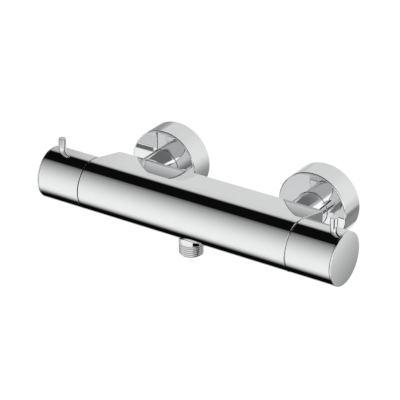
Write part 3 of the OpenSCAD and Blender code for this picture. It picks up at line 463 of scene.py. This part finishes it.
# One section as [y, z]: arcs c + r (cos a, sin a) about the bar's axis and about two back edges, joined by straight
# lines. The inset of an end's bevel is taken off the radii: all of it round the front and underneath, and only the
# shelf's share of it from the shelf to a little in front of the top, with an even passage between the two
def bodySection(depth, inset):
    f = bodyForm
    shelf, under = math.radians(90 - f["shelfAngle"]), math.radians(f["underAngle"] - 90)
    backY, reach = depth - f["edgeRadius"], f["radius"] - f["edgeRadius"]
    arc = lambda centre, r, a: np.stack([centre[0] + r * np.cos(a), centre[1] + r * np.sin(a)], -1)
    line = lambda angle, y, far: np.stack([y, (far - y * math.cos(angle)) / math.sin(angle)], -1)
    upper, lower = (line(angle, np.array([backY]), reach)[0] for angle in (shelf, under))
    upperArc = arc(upper, f["edgeRadius"] - inset * f["shelfBevel"], np.linspace(0, shelf, f["edgePoints"]))
    lowerArc = arc(lower, f["edgeRadius"] - inset, np.linspace(under, 0, f["edgePoints"]))
    around = np.linspace(shelf, math.tau + under, f["frontSteps"] + 1)
    passage = np.clip((np.degrees(around) - f["bevelFrom"]) / f["bevelPassage"], 0, 1)
    front = arc((0, 0), f["radius"] - inset * (f["shelfBevel"] + (1 - f["shelfBevel"]) * passage), around)
    between = upperArc[-1] + (front[0] - upperArc[-1]) * np.array(f["shelfRows"])[:, None]
    below = line(under, np.array(f["underRows"], float), f["radius"] - inset)
    return np.concatenate([lowerArc, upperArc, between, front, below])


def underside(y):  # height of the bar's underside: -sqrt(R^2 - y^2) in front, then the flat that rises to the wall
    angle = math.radians(bodyForm["underAngle"] - 90)
    r = bodyForm["radius"]
    flat = (r - y * math.cos(angle)) / math.sin(angle)
    return np.where(y < r * math.cos(angle), -np.sqrt(np.maximum(r * r - y * y, 0)), flat)


# Rings between a patch's rim and a round hole, as flat [u, v] points: rim + (hole - rim) * t
def ringsToHole(rim, centre, radius, count):
    away = unit(rim - centre)
    return [rim + (centre + radius * away - rim) * t for t in np.linspace(0, 1, count)], away


# The sleeve outside: sections along the bar, shallower at the corners of the shelf by the corner's quarter circle and
# inset over the bevel. The bores inside: a turned profile with the same columns
def bodyGrid():
    f = bodyForm
    straight, flush = f["half"] - f["cornerRadius"], f["half"] - f["bevel"]
    corner = straight + f["cornerRadius"] * np.array(f["cornerRows"])
    outer = np.concatenate([corner, f["half"] - f["bevel"] * np.array(f["bevelRows"])])
    middle = np.linspace(-f["holeHalf"], f["holeHalf"], f["holeSteps"] + 1)
    stations = np.concatenate([-outer[::-1], middle, outer])
    sections = []
    for x in np.abs(stations):
        beyond = max(x - straight, 0)
        depth = f["depth"] - f["cornerRadius"] + math.sqrt(max(f["cornerRadius"] ** 2 - beyond ** 2, 0))
        sections.append(bodySection(depth, max(x - flush, 0) / f["bevel"] * f["bevelDepth"]))
    sleeve = np.array(sections)
    sleeve = np.concatenate([sleeve, np.repeat(stations[:, None, None], sleeve.shape[1], 1)], -1)
    bores = turnedGrid(rounded(bodyBores, closed=False, steps=3), np.arctan2(sleeve[-1, :, 1], sleeve[-1, :, 0]))
    return np.concatenate([sleeve, bores]), outer.size


def buildBody():
    f = bodyForm
    shell = Shell()
    grid, row0 = bodyGrid()
    index = shell.add(grid, chordNormals(grid, wrapRows=True))
    # The outlet's opening is cut from the weave between two stations and two columns
    row1 = row0 + f["holeSteps"]
    firstFront = 2 * f["edgePoints"] + len(f["shelfRows"])
    front = np.linspace(90 - f["shelfAngle"], 360 + f["underAngle"] - 90, f["frontSteps"] + 1)
    column0 = firstFront + int(np.argmin(np.abs(front - f["holeFront"])))
    column1 = firstFront + front.size + f["underRows"].index(f["holeBack"])
    keep = np.ones((len(grid), grid.shape[1]), bool)
    keep[row0:row1, column0:column1] = False
    shell.weave(index, wrapRows=True, keep=keep)
    rim = np.concatenate([
        index[row0, column0:column1], index[row0:row1, column1],
        index[row1, column1:column0:-1], index[row1:row0:-1, column0]])
    rimPoints, rimNormals = np.concatenate(shell.points)[rim], np.concatenate(shell.normals)[rim]
    # Rings run in to the collar's fillet, down the collar, round its end and up into the chamber
    centre = np.array([-layout["outletForward"], 0.0])
    rings, away = ringsToHole(rimPoints[:, [0, 2]], centre, f["collarRadius"] + f["collarFillet"], f["holeRings"])
    foot = centre + f["collarRadius"] * away
    lift = lambda uv, z: np.stack([uv[:, 0], z, uv[:, 1]], -1)
    surface = [lift(uv, underside(uv[:, 0])) for uv in rings]
    footZ = underside(foot[:, 0])
    start, corner, end = surface[-1], lift(foot, footZ), lift(foot, footZ - f["collarFillet"])
    for t in np.linspace(0, 1, f["filletRows"] + 1)[1:]:  # (1 - t)^2 start + 2 t (1 - t) corner + t^2 end
        surface.append((1 - t) ** 2 * start + 2 * t * (1 - t) * corner + t * t * end)
    spout = rounded([
        (f["collarRadius"], f["collarRow"], 0), (f["collarRadius"], f["collarEnd"], fullEdge),
        (f["neckRadius"], f["collarEnd"], f["neckEdge"]), (f["neckRadius"], f["neckTop"], crispEdge),
        (f["chamberRadius"], f["neckTop"], crispEdge), (f["chamberRadius"], f["chamberTop"], deepEdge),
        (0, f["chamberTop"], 0)], closed=False, steps=4)
    for r, down in spout[1:-1]:
        surface.append(lift(centre + r * away, np.full(len(away), -down)))
    surface = np.array(surface)
    bent = chordNormals(surface)
    if (bent[0] * rimNormals).sum() < 0:
        bent = -bent
    inner = shell.add(surface[1:], bent[1:])
    shell.weave(np.vstack([rim[None], inner]))
    shell.closeAt(inner[-1], (centre[0], -f["chamberTop"], 0), bent[-1].mean(0))
    finishPiece(shell, "bodySkin", barPlace, "valve", ["valve_body"])


buildBody()
print("body built")

# Handles: a deep cup with a web across it and a socket for the splined insert
handleForm = {
    "outer": 23, "inner": 20.5, "open": {-1: 102.75, 1: 102.9}, "lip": {-1: 0.2, 1: 0.5}, "shut": 143.4,
    "shutLip": 0.25, "webNear": 124.05, "webFar": 127.05, "screwHole": 2.3, "socketRadius": 9.87, "socketWall": 11.67,
    "socketEnd": 114.2, "columns": 112,
}


def buildHandle(side, control):
    f = handleForm
    start = f["open"][side]
    shell = turnedShell([
        (f["inner"], start, softEdge), (f["outer"], start, f["lip"][side]),
        (f["outer"], f["shut"], f["shutLip"]), (f["inner"], f["shut"], crispEdge),
        (f["inner"], f["webFar"], deepEdge), (f["screwHole"], f["webFar"], crispEdge),
        (f["screwHole"], f["webNear"], crispEdge), (f["socketRadius"], f["webNear"], softEdge),
        (f["socketRadius"], f["socketEnd"], crispEdge), (f["socketWall"], f["socketEnd"], crispEdge),
        (f["socketWall"], f["webNear"], fullEdge), (f["inner"], f["webNear"], deepEdge)], f["columns"])
    finishPiece(shell, control + "Grip", endPlace(side), control + "_control", [control + "_handle"])


# End caps: a disc with a snap ring behind it
capForm = {
    "radius": 23, "face": 145, "back": 143.75, "ringInner": 18.9, "ringOuter": 20.4, "ringEnd": 139,
    "lip": 0.4, "backLip": 0.25, "columns": 112,
}


def buildCap(side, control):
    f = capForm
    shell = turnedShell([
        (0, f["back"], 0), (f["ringInner"], f["back"], crispEdge), (f["ringInner"], f["ringEnd"], softEdge),
        (f["ringOuter"], f["ringEnd"], softEdge), (f["ringOuter"], f["back"], crispEdge),
        (f["radius"], f["back"], f["backLip"]), (f["radius"], f["face"], f["lip"]), (0, f["face"], 0)],
        f["columns"], closed=False)
    finishPiece(shell, control + "Cap", endPlace(side), control + "_control", [control + "_end_cap"])


# Pins: a spigot in the handle's wall and a plain round post above it
pinForm = {
    "across": 134, "spigot": 2, "foot": 15.7, "seat": 21.75, "seatFillet": 0.15, "radius": 3.2, "top": 34.5,
    "edge": 0.45, "columns": 64,
}


def buildPin(side, control):
    f = pinForm
    shell = turnedShell([
        (0, f["foot"], 0), (f["spigot"], f["foot"], softEdge), (f["spigot"], f["seat"], f["seatFillet"]),
        (f["radius"], f["seat"], crispEdge), (f["radius"], f["top"], f["edge"]), (0, f["top"], 0)],
        f["columns"], closed=False)
    finishPiece(shell, control + "Post", uprightPlace(side * f["across"]), control + "_control", [control + "_pin"])


for buildEnd in (buildHandle, buildCap, buildPin):
    for side, control in controls.items():
        buildEnd(side, control)
print("handles built")

# Union nuts: the round shafts between the body and the rosettes, alike on both sides
nutForm = {
    "hole": 9.5, "outer": 15, "front": -48.6, "shoulder": -43.6, "thread": 13.28, "end": -16.2, "bevel": 0.8,
    "columns": 96,
}


def buildNut(side, supply):
    f = nutForm
    b = f["bevel"]
    shell = turnedShell([
        (f["hole"], f["front"], softEdge), (f["outer"] - b, f["front"], softEdge),
        (f["outer"], f["front"] + b, softEdge), (f["outer"], f["end"] - b, softEdge),
        (f["outer"] - b, f["end"], softEdge), (f["thread"], f["end"], crispEdge),
        (f["thread"], f["shoulder"], crispEdge), (f["hole"], f["shoulder"], crispEdge)], f["columns"])
    finishPiece(shell, supply + "Nut", inletPlace(side), "valve", [supply + "_union_nut"])


# Rosettes: a deep cover with a boss round its bore, and a groove in the boss for the seal
rosetteForm = {
    "bore": 15.2, "boreEdge": 0.35, "outer": 32.7, "front": -23.5, "edge": 1.3, "wall": 0, "rimInner": 31.4,
    "face": -22.2, "boss": 17.6, "bossRoot": 0.5, "bossEnd": -15.5, "grooveNear": -20.0, "grooveFar": -17.8,
    "groove": 16.6, "columns": 128,
}


def buildRosette(side, supply):
    f = rosetteForm
    shell = turnedShell([
        (f["bore"], f["front"], f["boreEdge"]), (f["outer"], f["front"], f["edge"]),
        (f["outer"], f["wall"], crispEdge), (f["rimInner"], f["wall"], crispEdge),
        (f["rimInner"], f["face"], deepEdge), (f["boss"], f["face"], f["bossRoot"]),
        (f["boss"], f["bossEnd"], crispEdge), (f["bore"], f["bossEnd"], crispEdge),
        (f["bore"], f["grooveFar"], fineEdge), (f["groove"], f["grooveFar"], crispEdge),
        (f["groove"], f["grooveNear"], crispEdge), (f["bore"], f["grooveNear"], fineEdge)], f["columns"])
    finishPiece(shell, supply + "Rose", inletPlace(side), "valve", [supply + "_rosette"])


for side, supply in supplies.items():
    buildNut(side, supply)
    buildRosette(side, supply)
print("nuts and rosettes built")

# Threads: the radius falls from the crest by a share of the depth that depends on the turn at that angle and height
threadForm = {
    "pitch": 1.814, "depth": 1.0, "crest": 0.4, "root": 0.06, "soft": 0.1, "perPitch": 12, "leastRows": 8, "fade": 0.6,
}


# Share of the depth at place t (0..1) along one pitch: flat crest, straight flank, flat root, straight flank, smoothed
def threadShare(t):
    f = threadForm
    t = np.abs((t % 1) - 0.5) * 2
    share = np.clip((t - f["crest"]) / (1 - f["crest"] - f["root"]), 0, 1)
    return (1 - f["soft"]) * share + f["soft"] * (0.5 - 0.5 * np.cos(math.pi * t))


# Grid of a helical thread from low to high: r = crest - depth * share(h / pitch - angle / turn), where the full depth
# is cut away at both ends and the crests rise from it over a short fade
def threadGrid(crest, low, high, columns):
    f = threadForm
    rows = max(int((high - low) / f["pitch"] * f["perPitch"]), f["leastRows"])
    h = np.linspace(low, high, rows + 1)[:, None]
    a = evenAngles(columns)[None]
    fade = np.clip((h - low) / f["fade"], 0, 1) * np.clip((high - h) / f["fade"], 0, 1)
    share = threadShare(h / f["pitch"] - a / math.tau)
    r = crest - f["depth"] * (1 - (1 - share) * fade)
    return np.stack([r * np.cos(a), r * np.sin(a), np.repeat(h, columns, 1)], -1)


# Outlet nipple: a pipe pressed up into the collar with a half inch thread below it, in heights down from the bar
nippleForm = {
    "bore": 6.5, "boreRow": 30, "neck": 9.2, "top": 20.2, "grooveTop": 21.4, "grooveEnd": 24, "groove": 1.3,
    "foot": 25.25, "ringDown": 0.4, "rootDown": 0.6, "threadDown": 0.65, "crest": 10.4775,
    "end": 35.8, "threadUp": 0.3, "rootUp": 0.25, "endBevel": 0.2, "endEdge": 0.15, "columns": 96,
    "rootLook": 0.1, "crestLook": 0.15,  # how far short of root and crest the painted shade in the roots stops changing
}


def buildNipple():
    f = nippleForm
    shell = Shell()
    core, groove, a = f["crest"] - threadForm["depth"], f["neck"] - f["groove"], evenAngles(f["columns"])
    above = rounded([
        (f["bore"], f["boreRow"], 0), (f["bore"], f["top"], softEdge), (f["neck"], f["top"], crispEdge),
        (f["neck"], f["grooveTop"], crispEdge), (groove, f["grooveTop"], crispEdge),
        (groove, f["grooveEnd"], crispEdge), (f["neck"], f["grooveEnd"], crispEdge),
        (f["neck"], f["foot"], fineEdge), (f["crest"], f["foot"], crispEdge),
        (f["crest"], f["foot"] + f["ringDown"], fineEdge), (core, f["foot"] + f["rootDown"], 0)], closed=False, steps=3)
    below = rounded([
        (core, f["end"] - f["rootUp"], 0), (core - f["endBevel"], f["end"], f["endEdge"]),
        (f["bore"], f["end"], fullEdge), (f["bore"], f["boreRow"], 0)], closed=False, steps=3)
    thread = threadGrid(f["crest"], f["foot"] + f["threadDown"], f["end"] - f["threadUp"], f["columns"])
    grid = np.concatenate([turnedGrid(above[:-1], a), thread, turnedGrid(below[1:-1], a)])
    shell.weave(shell.add(grid, chordNormals(grid, wrapRows=True)), wrapRows=True)
    centre = (0, (layout["barY"] - layout["outletForward"]) / 1000)
    # painted shade in the thread's roots
    look = threadRootShadeChrome(centre, (core + f["rootLook"]) / 1000, (f["crest"] - f["crestLook"]) / 1000)
    finishPiece(shell, "nippleSkin", outletPlace, "valve", ["outlet_nipple"], look)


buildNipple()

# Offset unions: a threaded front end for the nut, a flatted body whose tail sits higher, and a tail for the wall
unionForm = {
    "front": -38.3, "threadEnd": -22, "thread": 13.22, "relief": 12, "bodyFront": -15.5, "bodyBack": -5.5,
    "edgeRows": ((0.6, 0), (0.18, 0.18), (0, 0.6)), "frontRound": 14, "tailRound": 12, "rise": 10, "flat": 13,
    "tail": 10.4775, "tailPlain": 1.6, "tailRoot": 2.0, "tailThread": 2.1, "tailEnd": 16,
    "frontBore": 9, "boreRow": -22.9, "frontBoreEnd": -13.5, "tailBore": 7.5, "tailBoreEnd": -7.5,
    "bevel": 0.3, "fillet": 0.25, "gap": 0.35, "threadRoot": 0.1, "reliefRoot": 0.5, "tailBevel": 0.4, "columns": 120,
}


# Outline of the flatted body at an angle a about the front's axis: the near circle, then its shared tangent with the
# far one at near / cos(a - lean), then the far circle at gap sin a + sqrt(far^2 - (gap cos a)^2), and never more than
# the flats at flat / |cos a|
def flattedOutline(inset, angle):
    f = unionForm
    near, far, gap = f["frontRound"] - inset, f["tailRound"] - inset, f["rise"]
    lean = math.asin((near - far) / gap)
    c, s = np.cos(angle), np.sin(angle)
    second = s * gap + np.sqrt(np.maximum(far * far - (c * gap) ** 2, 0))
    side = near / np.maximum(np.abs(c) * math.cos(lean) + s * math.sin(lean), nearZero)
    reach = np.where(s < math.sin(lean), near, np.where(side * s - gap > far * math.sin(lean), second, side))
    return np.minimum(reach, (f["flat"] - inset) / np.maximum(np.abs(c), nearZero))


# A closed run of rings (r cos a, r sin a + up, h), up the front end outside, along the tail and back through the bores
def buildUnion(side, supply):
    f = unionForm
    angle = evenAngles(f["columns"])
    rise = -f["rise"]  # local y runs down
    ring = lambda r, h, up=0: np.stack([r * np.cos(angle), r * np.sin(angle) + up, np.full(angle.size, float(h))], -1)
    front, back, tailEnd = f["bodyFront"], f["bodyBack"], f["tailEnd"]
    core, tailCore = f["thread"] - threadForm["depth"], f["tail"] - threadForm["depth"]
    rows = [
        ring(f["frontBore"], f["boreRow"]), ring(f["frontBore"], f["front"] + f["bevel"]),
        ring(f["frontBore"] + f["bevel"], f["front"]), ring(core - f["bevel"], f["front"]),
        ring(core, f["front"] + f["bevel"])]
    rows += list(threadGrid(f["thread"], f["front"] + f["gap"], f["threadEnd"], f["columns"]))
    rows += [
        ring(core, f["threadEnd"] + f["threadRoot"]), ring(f["relief"], f["threadEnd"] + f["reliefRoot"]),
        ring(f["relief"], front - f["fillet"]), ring(f["relief"] + f["fillet"], front)]
    rows += [ring(flattedOutline(inset, -angle), front + step) for inset, step in f["edgeRows"]]
    rows += [ring(flattedOutline(inset, -angle), back - step) for inset, step in f["edgeRows"][::-1]]
    rows += [
        ring(f["tail"] + f["fillet"], back, rise), ring(f["tail"], back + f["fillet"], rise),
        ring(f["tail"], back + f["tailPlain"], rise), ring(tailCore, back + f["tailRoot"], rise)]
    rows += list(threadGrid(f["tail"], back + f["tailThread"], tailEnd - f["gap"], f["columns"]) + [0, rise, 0])
    rows += [
        ring(tailCore, tailEnd - f["bevel"], rise), ring(tailCore - f["bevel"], tailEnd, rise),
        ring(f["tailBore"] + f["tailBevel"], tailEnd, rise), ring(f["tailBore"], tailEnd - f["tailBevel"], rise),
        ring(f["tailBore"], f["tailBoreEnd"], rise), ring(f["frontBore"], f["frontBoreEnd"])]
    grid = np.array(rows)
    shell = Shell()
    shell.weave(shell.add(grid, chordNormals(grid, wrapRows=True)), wrapRows=True)
    finishPiece(shell, supply + "Union", inletPlace(side), "valve", [supply + "_offset_union"])


for side, supply in supplies.items():
    buildUnion(side, supply)
print("nipple and unions built")

# Compression springs, each wound between its fixed and free ends: in the valve, four are pressed by what travels
# against their free ends, and the overload spring only rides
coilForm = {"stepsPerTurn": 28, "wireSteps": 12, "level": 0.33}
checkCoil = {"body": "valve", "fixed": -57.96, "free": -45.74, "radius": 2.6, "wire": 0.3, "turns": 6, "travel": 3}
springForms = {
    "hotCheckCoil": {**checkCoil, "node": "hot_check_spring", "place": inletPlace(-1), "joint": "hot_poppet_lift"},
    "coldCheckCoil": {**checkCoil, "node": "cold_check_spring", "place": inletPlace(1), "joint": "cold_poppet_lift"},
    "returnCoil": {
        "node": "return_spring", "body": "valve", "place": barPlace, "fixed": 40.32, "free": 57.38,
        "radius": 6.3, "wire": 0.5, "turns": 5, "joint": "regulating_travel", "travel": 0.85},
    "overloadCoil": {
        "node": "overload_spring", "body": "regulating_slide", "place": barPlace, "fixed": 75.53, "free": 83.27,
        "radius": 5, "wire": 0.6, "turns": 4, "joint": None, "travel": 0},
    "buttonCoil": {
        "node": "safety_button_spring", "body": "temperature_control", "place": uprightPlace(119.4),
        "fixed": -11.46, "free": -17.72, "radius": 2, "wire": 0.25, "turns": 3,
        "joint": "safety_button_press", "travel": 2.6},
}


# A round wire w on a helix: r = radius + w cos b, h = low + rise * t + w sin b, where t is level for the first and the
# last third of a turn
def buildSpring(name, f):
    low, high = min(f["fixed"], f["free"]) + f["wire"], max(f["fixed"], f["free"]) - f["wire"]
    turn = np.linspace(0, f["turns"], f["turns"] * coilForm["stepsPerTurn"] + 1)[:, None]
    b = evenAngles(coilForm["wireSteps"])[None]
    middle = low + (high - low) * np.clip((turn - coilForm["level"]) / (f["turns"] - 2 * coilForm["level"]), 0, 1)
    r = f["radius"] + f["wire"] * np.cos(b)
    grid = np.stack([r * np.cos(math.tau * turn), r * np.sin(math.tau * turn), middle + f["wire"] * np.sin(b)], -1)
    shell = Shell()
    shell.weave(shell.add(grid, chordNormals(grid)))
    for end, side in ((0, -1), (-1, 1)):
        flat = np.array([0, side, 0.0])
        ring = shell.add(grid[end][None], np.repeat(flat[None, None], b.size, 1))[0]
        shell.closeAt(ring, grid[end].mean(0), flat)
    spring = finishPiece(shell, name, f["place"], f["body"], [f["node"]], finishes["spring_steel"])
    if f["joint"]:
        origin, _, along = (np.array(v, float) for v in f["place"])
        length = abs(f["free"] - f["fixed"])
        tuple((origin + f["fixed"] * along) / 1000)
        1 - f["travel"] / length
        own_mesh(spring)


for name, form in springForms.items():
    buildSpring(name, form)
print("springs built")

# Surroundings: a pale floor, a plain world and one soft lamp, and a tent, cards and panels that only glossy rays see
stageForm = {
    "floorHeight": -1.9, "floorSize": 40, "floorColour": 0.9, "floorGlow": 0.36, "worldLevel": 0.7,
    "lampPower": 30, "lampSize": 1.5, "lampPlace": (-1.2, -1.6, 2.2), "chrome": 0.83, "sheetSteps": 8,
}
screenCurve = {"white": 255, "offset": 0.055, "power": 2.4, "straightTo": 0.04045, "slope": 12.92}


def toLight(share):  # ((share + offset) / (1 + offset)) ^ power, for a number or a node's output
    s = screenCurve
    return ((share + s["offset"]) / (1 + s["offset"])) ** s["power"]


def linear(level):  # from a level out of 255 on screen to light
    share = level / screenCurve["white"]
    return toLight(share) if share > screenCurve["straightTo"] else share / screenCurve["slope"]


def curve(m, value, stops):  # a height for each value, straight between the stops
    low, high, top = stops[0][0], stops[-1][0], max(height for _, height in stops)
    points = [((place - low) / (high - low), height / top) for place, height in stops]
    return m.node("ShaderNodeFloatCurve", {"stops": points}, {"Value": (value - low) * (1 / (high - low))})[0] * top


# Stops for a curve from sheets of light. A sheet is where it starts and ends, its height at both and a power, and its
# height is first + (last - first) * share ^ power
def sheetStops(sheets):
    stops = {}
    shares = np.linspace(0, 1, stageForm["sheetSteps"] + 1)
    for start, end, first, last, power in sheets:
        heights = first + (last - first) * shares ** power
        stops.update(zip(np.linspace(start, end, shares.size).tolist(), heights.tolist()))
    return sorted(stops.items())


def zone(m, ways, edges):  # product of ramps from 0 at the first place to 1 at the second
    made = 1.0
    for way, outside, inside in edges:
        made = m.ramp(ways[way], outside, inside) * made
    return made


def lightOnly(obj):  # seen by glossy rays alone
    obj.visible_camera = obj.visible_diffuse = obj.visible_transmission = False
    obj.visible_volume_scatter = obj.visible_shadow = False


def sheetObject(name, points, faces, material):
    mesh = bpy.data.meshes.new(name)
    mesh.from_pydata([tuple(float(c) for c in p) for p in points], [], faces)
    mesh.polygons.foreach_set("use_smooth", np.ones(len(mesh.polygons), bool))
    mesh.materials.append(material)
    obj = bpy.data.objects.new(name, mesh)
    bpy.context.scene.collection.objects.link(obj)
    return obj


def rectangle(name, low, high, material):  # a flat sheet between two opposite corners
    first, second = (axis for axis in range(3) if low[axis] != high[axis])
    corners = np.repeat(np.array([low], float), 4, 0)
    corners[1:3, first], corners[2:, second] = high[first], high[second]
    return sheetObject(name, corners, [(0, 1, 2, 3)], material)


def buildStage():
    f = stageForm
    half = f["floorSize"] / 2
    m = Finish("floorPaint")
    path = m.node("ShaderNodeLightPath")
    seen = m.maths("MAXIMUM", path["Is Camera Ray"], path["Is Transmission Ray"])
    m.surface({
        "Base Color": (f["floorColour"],) * 3 + (1,), "Roughness": 1.0,
        "Emission Color": seen, "Emission Strength": f["floorGlow"]})
    rectangle("floor", (-half, -half, f["floorHeight"]), (half, half, f["floorHeight"]), m.data)
    w = Finish("surroundings", world=True)
    path = w.node("ShaderNodeLightPath")
    seen = w.maths("MAXIMUM", path["Is Camera Ray"], path["Is Glossy Ray"])
    seen = w.maths("MAXIMUM", seen, path["Is Transmission Ray"])
    plain = w.node("ShaderNodeBackground", {}, {"Color": (1, 1, 1, 1), "Strength": f["worldLevel"]})
    white = w.node("ShaderNodeBackground", {}, {"Color": (1, 1, 1, 1), "Strength": 1.0})
    w.node("ShaderNodeOutputWorld", {}, {"Surface": w.mixed(seen, plain[0], white[0])})
    bpy.context.scene.world = w.data
    data = bpy.data.lights.new("lamp", "AREA")
    data.energy, data.size = f["lampPower"], f["lampSize"]
    lamp = bpy.data.objects.new("lamp", data)
    lamp.location = f["lampPlace"]
    lamp.rotation_euler = (-Vector(f["lampPlace"])).to_track_quat("-Z", "Y").to_euler()
    lamp.visible_glossy = False
    bpy.context.scene.collection.objects.link(lamp)


# The tent: a long tube of light about the bar's axis
tentForm = {"radius": 1.6, "reach": 5.0, "steps": 128, "windowLight": 0.7, "backward": (-0.05, 0.15)}
# Sheets of the tent, in degrees round the bar's axis from the front over the top, with levels out of 255
tentSheets = [
    (-180, -150, 207, 222, 1), (-150, -122, 222, 185, 1), (-120.5, -83, 8, 6, 1), (-40, -83, 236, 6, 3.1),
    (-40, 63, 236, 139, 2.4), (63, 73, 139, 96, 1), (75.5, 121.5, 10, 10, 1), (142, 124, 207, 120, 3),
    (142, 180, 207, 207, 1),
]
sideStops = [  # sideways share, and how much lighter it is behind
    (-0.7, 0.4), (-0.655, 0.47), (-0.62, 0.62), (-0.585, 0.85), (-0.55, 1.0), (-0.2, 1.0), (0, 1.05), (0.3, 1.15),
    (0.5, 1.22), (0.7, 1.25),
]
# Downward share, and how much darker it is behind on the right: painted shade, as of a shadowed wall beside the
# rosettes, seen in the chrome
lowShadeStops = [(0, 0.95), (0.12, 0.8), (0.25, 0.62), (0.36, 0.45), (0.48, 0.33), (0.7, 0.3)]
# Where a patch starts and where it is full, as shares of the direction, degrees round the axis, or metres to the front
tentZones = {
    "behindRight": (("right", -0.03, 0.08), ("back", 0.3, 0.5)),
    "window": (("right", 0.42, 0.5), ("round", 5, 14), ("roundBack", -70, -60), ("metresFront", 0, 0.1)),
    "under": (("up", -0.6, -0.54), ("down", 0.26, 0.32)),
    "leftFlank": (("left", 0.6, 0.68), ("back", -0.24, -0.18)),
    "rightFlank": (("right", 0.58, 0.64), ("front", -0.32, -0.26)),
}


def buildTent():
    f = tentForm
    m = Finish("tentLight")
    x, y, z = m.axes()
    length = (x * x + y * y + z * z) ** 0.5
    around = m.maths("ARCTAN2", z, 0 - y) * (180 / math.pi)
    ways = {"right": x / length, "back": y / length, "up": z / length, "round": around, "metresFront": 0 - y}
    for way, opposite in (("right", "left"), ("back", "front"), ("up", "down"), ("round", "roundBack")):
        ways[opposite] = 0 - ways[way]
    patch = {name: zone(m, ways, edges) for name, edges in tentZones.items()}
    light = curve(m, around, [(a, linear(level) / stageForm["chrome"]) for a, level in sheetStops(tentSheets)])
    behind = m.ramp(ways["back"], *f["backward"])
    light = light * (1 + (curve(m, ways["right"], sideStops) - 1) * behind)
    # painted shade looking down and back on the right
    light = light * (1 + (curve(m, ways["down"], lowShadeStops) - 1) * patch["behindRight"])
    light = light * (1 - patch["under"] * (patch["leftFlank"] + patch["rightFlank"]))
    light = light + patch["window"] * f["windowLight"]
    m.output(m.glow(light))
    steps = f["steps"]
    a = evenAngles(steps)
    rings = [np.stack([np.full(steps, end), f["radius"] * np.cos(a), f["radius"] * np.sin(a)], -1)
             for end in (-f["reach"], f["reach"])]
    faces = [(i, (i + 1) % steps, steps + (i + 1) % steps, steps + i) for i in range(steps)]
    tent = sheetObject("tent", np.concatenate(rings), faces, m.data)
    tent.location = (0, layout["barY"] / 1000, layout["barZ"] / 1000)
    lightOnly(tent)


# A round card with a soft edge for the right end cap. Its level out of 255 changes by the slope for each millimetre
cardForm = {
    "centre": (0.2932, 0.1802, -0.1732), "facing": (-0.4233, -0.772, 0.4749), "radius": 0.12, "soft": 0.04,
    "level": 178, "slope": (1.976, -0.45, 1.03), "least": 125, "most": 212, "steps": 48,
}


def buildCard():
    f = cardForm
    m = Finish("cardLight")
    x, y, z = m.axes()
    perMetre = [slope * 1000 for slope in f["slope"]]
    level = f["level"] + (x * perMetre[0] + y * perMetre[1] + z * perMetre[2])
    held = m.node("ShaderNodeClamp", {}, {"Value": level, "Min": f["least"], "Max": f["most"]})[0]
    light = toLight(held / screenCurve["white"]) / stageForm["chrome"]
    edge = m.ramp((x * x + y * y + z * z) ** 0.5, f["radius"], f["radius"] - f["soft"])
    m.output(m.mixed(edge, m.node("ShaderNodeBsdfTransparent")[0], m.glow(light)))
    facing = unit(np.array(f["facing"]))
    across = unit(np.cross(facing, [0, 0, 1]))
    up = np.cross(across, facing)
    a = evenAngles(f["steps"])
    points = f["radius"] * (np.outer(np.cos(a), across) + np.outer(np.sin(a), up))
    card = sheetObject("card", points, [tuple(range(f["steps"]))], m.data)
    card.location = f["centre"]
    lightOnly(card)


# Plain cards, as two opposite corners and their light. For the left rosette: light below the left handle, and dark in
# front of it. For the right pin: light beyond the right end, dark in front of that, and dim behind it. For the shelf's
# left end in its mirror image: light far out on the left
sideCards = [
    ((-0.19, -0.081, -0.045), (-0.125, -0.03, -0.045), 0.77),
    ((-0.21, -0.115, -0.0524), (-0.149, -0.115, -0.035), 0.14),
    ((0.25, -0.19, -0.09), (0.25, -0.03, -0.005), 1.0),
    ((0.168, -0.22, -0.095), (0.28, -0.22, -0.03), 0.06),
    ((0.25, -0.03, -0.072), (0.25, 0.06, -0.02), 0.15),
    ((-0.3, -0.18, -0.2), (-0.3, 0.05, -0.09), 0.7),
]


def buildSideCard(low, high, light):
    m = Finish("sideLight")
    m.output(m.glow((light,) * 3 + (1,)))
    lightOnly(rectangle("sideCard", low, high, m.data))


# Panels in front of the rosettes: light below an arched line and dark above it, shining to the wall only
panelForm = {
    "y": -0.098, "left": -0.072, "right": {-1: 0.063, 1: 0.034}, "low": 0.0165, "high": 0.1, "bend": 7, "middle": 0.008,
}
panelSheets = [(0.0165, 0.026, 0.77, 0.4, 1.25), (0.028, 0.035, 0.38, 0.53, 0.5), (0.035, 0.1, 0.53, 0.53, 1)]
archStops = {  # arched height, and the share of the light left there
    -1: [(0.0165, 1), (0.068, 1), (0.0695, 0.36), (0.14, 0.36)],
    1: [(0.0165, 1), (0.0632, 1), (0.065, 0.62), (0.078, 0.37), (0.14, 0.34)],
}


def buildPanel(side):
    f = panelForm
    m = Finish("panelLight")
    x, _, z = m.axes()
    arched = z + (x - f["middle"]) ** 2 * f["bend"]
    light = curve(m, z, sheetStops(panelSheets)) * curve(m, arched, archStops[side])
    back = m.node("ShaderNodeNewGeometry")["Backfacing"]
    m.output(m.mixed(back, m.node("ShaderNodeBsdfTransparent")[0], m.glow(light)))
    panel = rectangle("panel", (f["left"], 0, f["low"]), (f["right"][side], 0, f["high"]), m.data)
    panel.location = (side * layout["inletHalf"] / 1000, f["y"], 0)
    lightOnly(panel)


buildStage()
buildTent()
buildCard()
for low, high, light in sideCards:
    buildSideCard(low, high, light)
for side in (-1, 1):
    buildPanel(side)
bpy.context.scene.view_settings.view_transform = "Standard"
print("stage built")
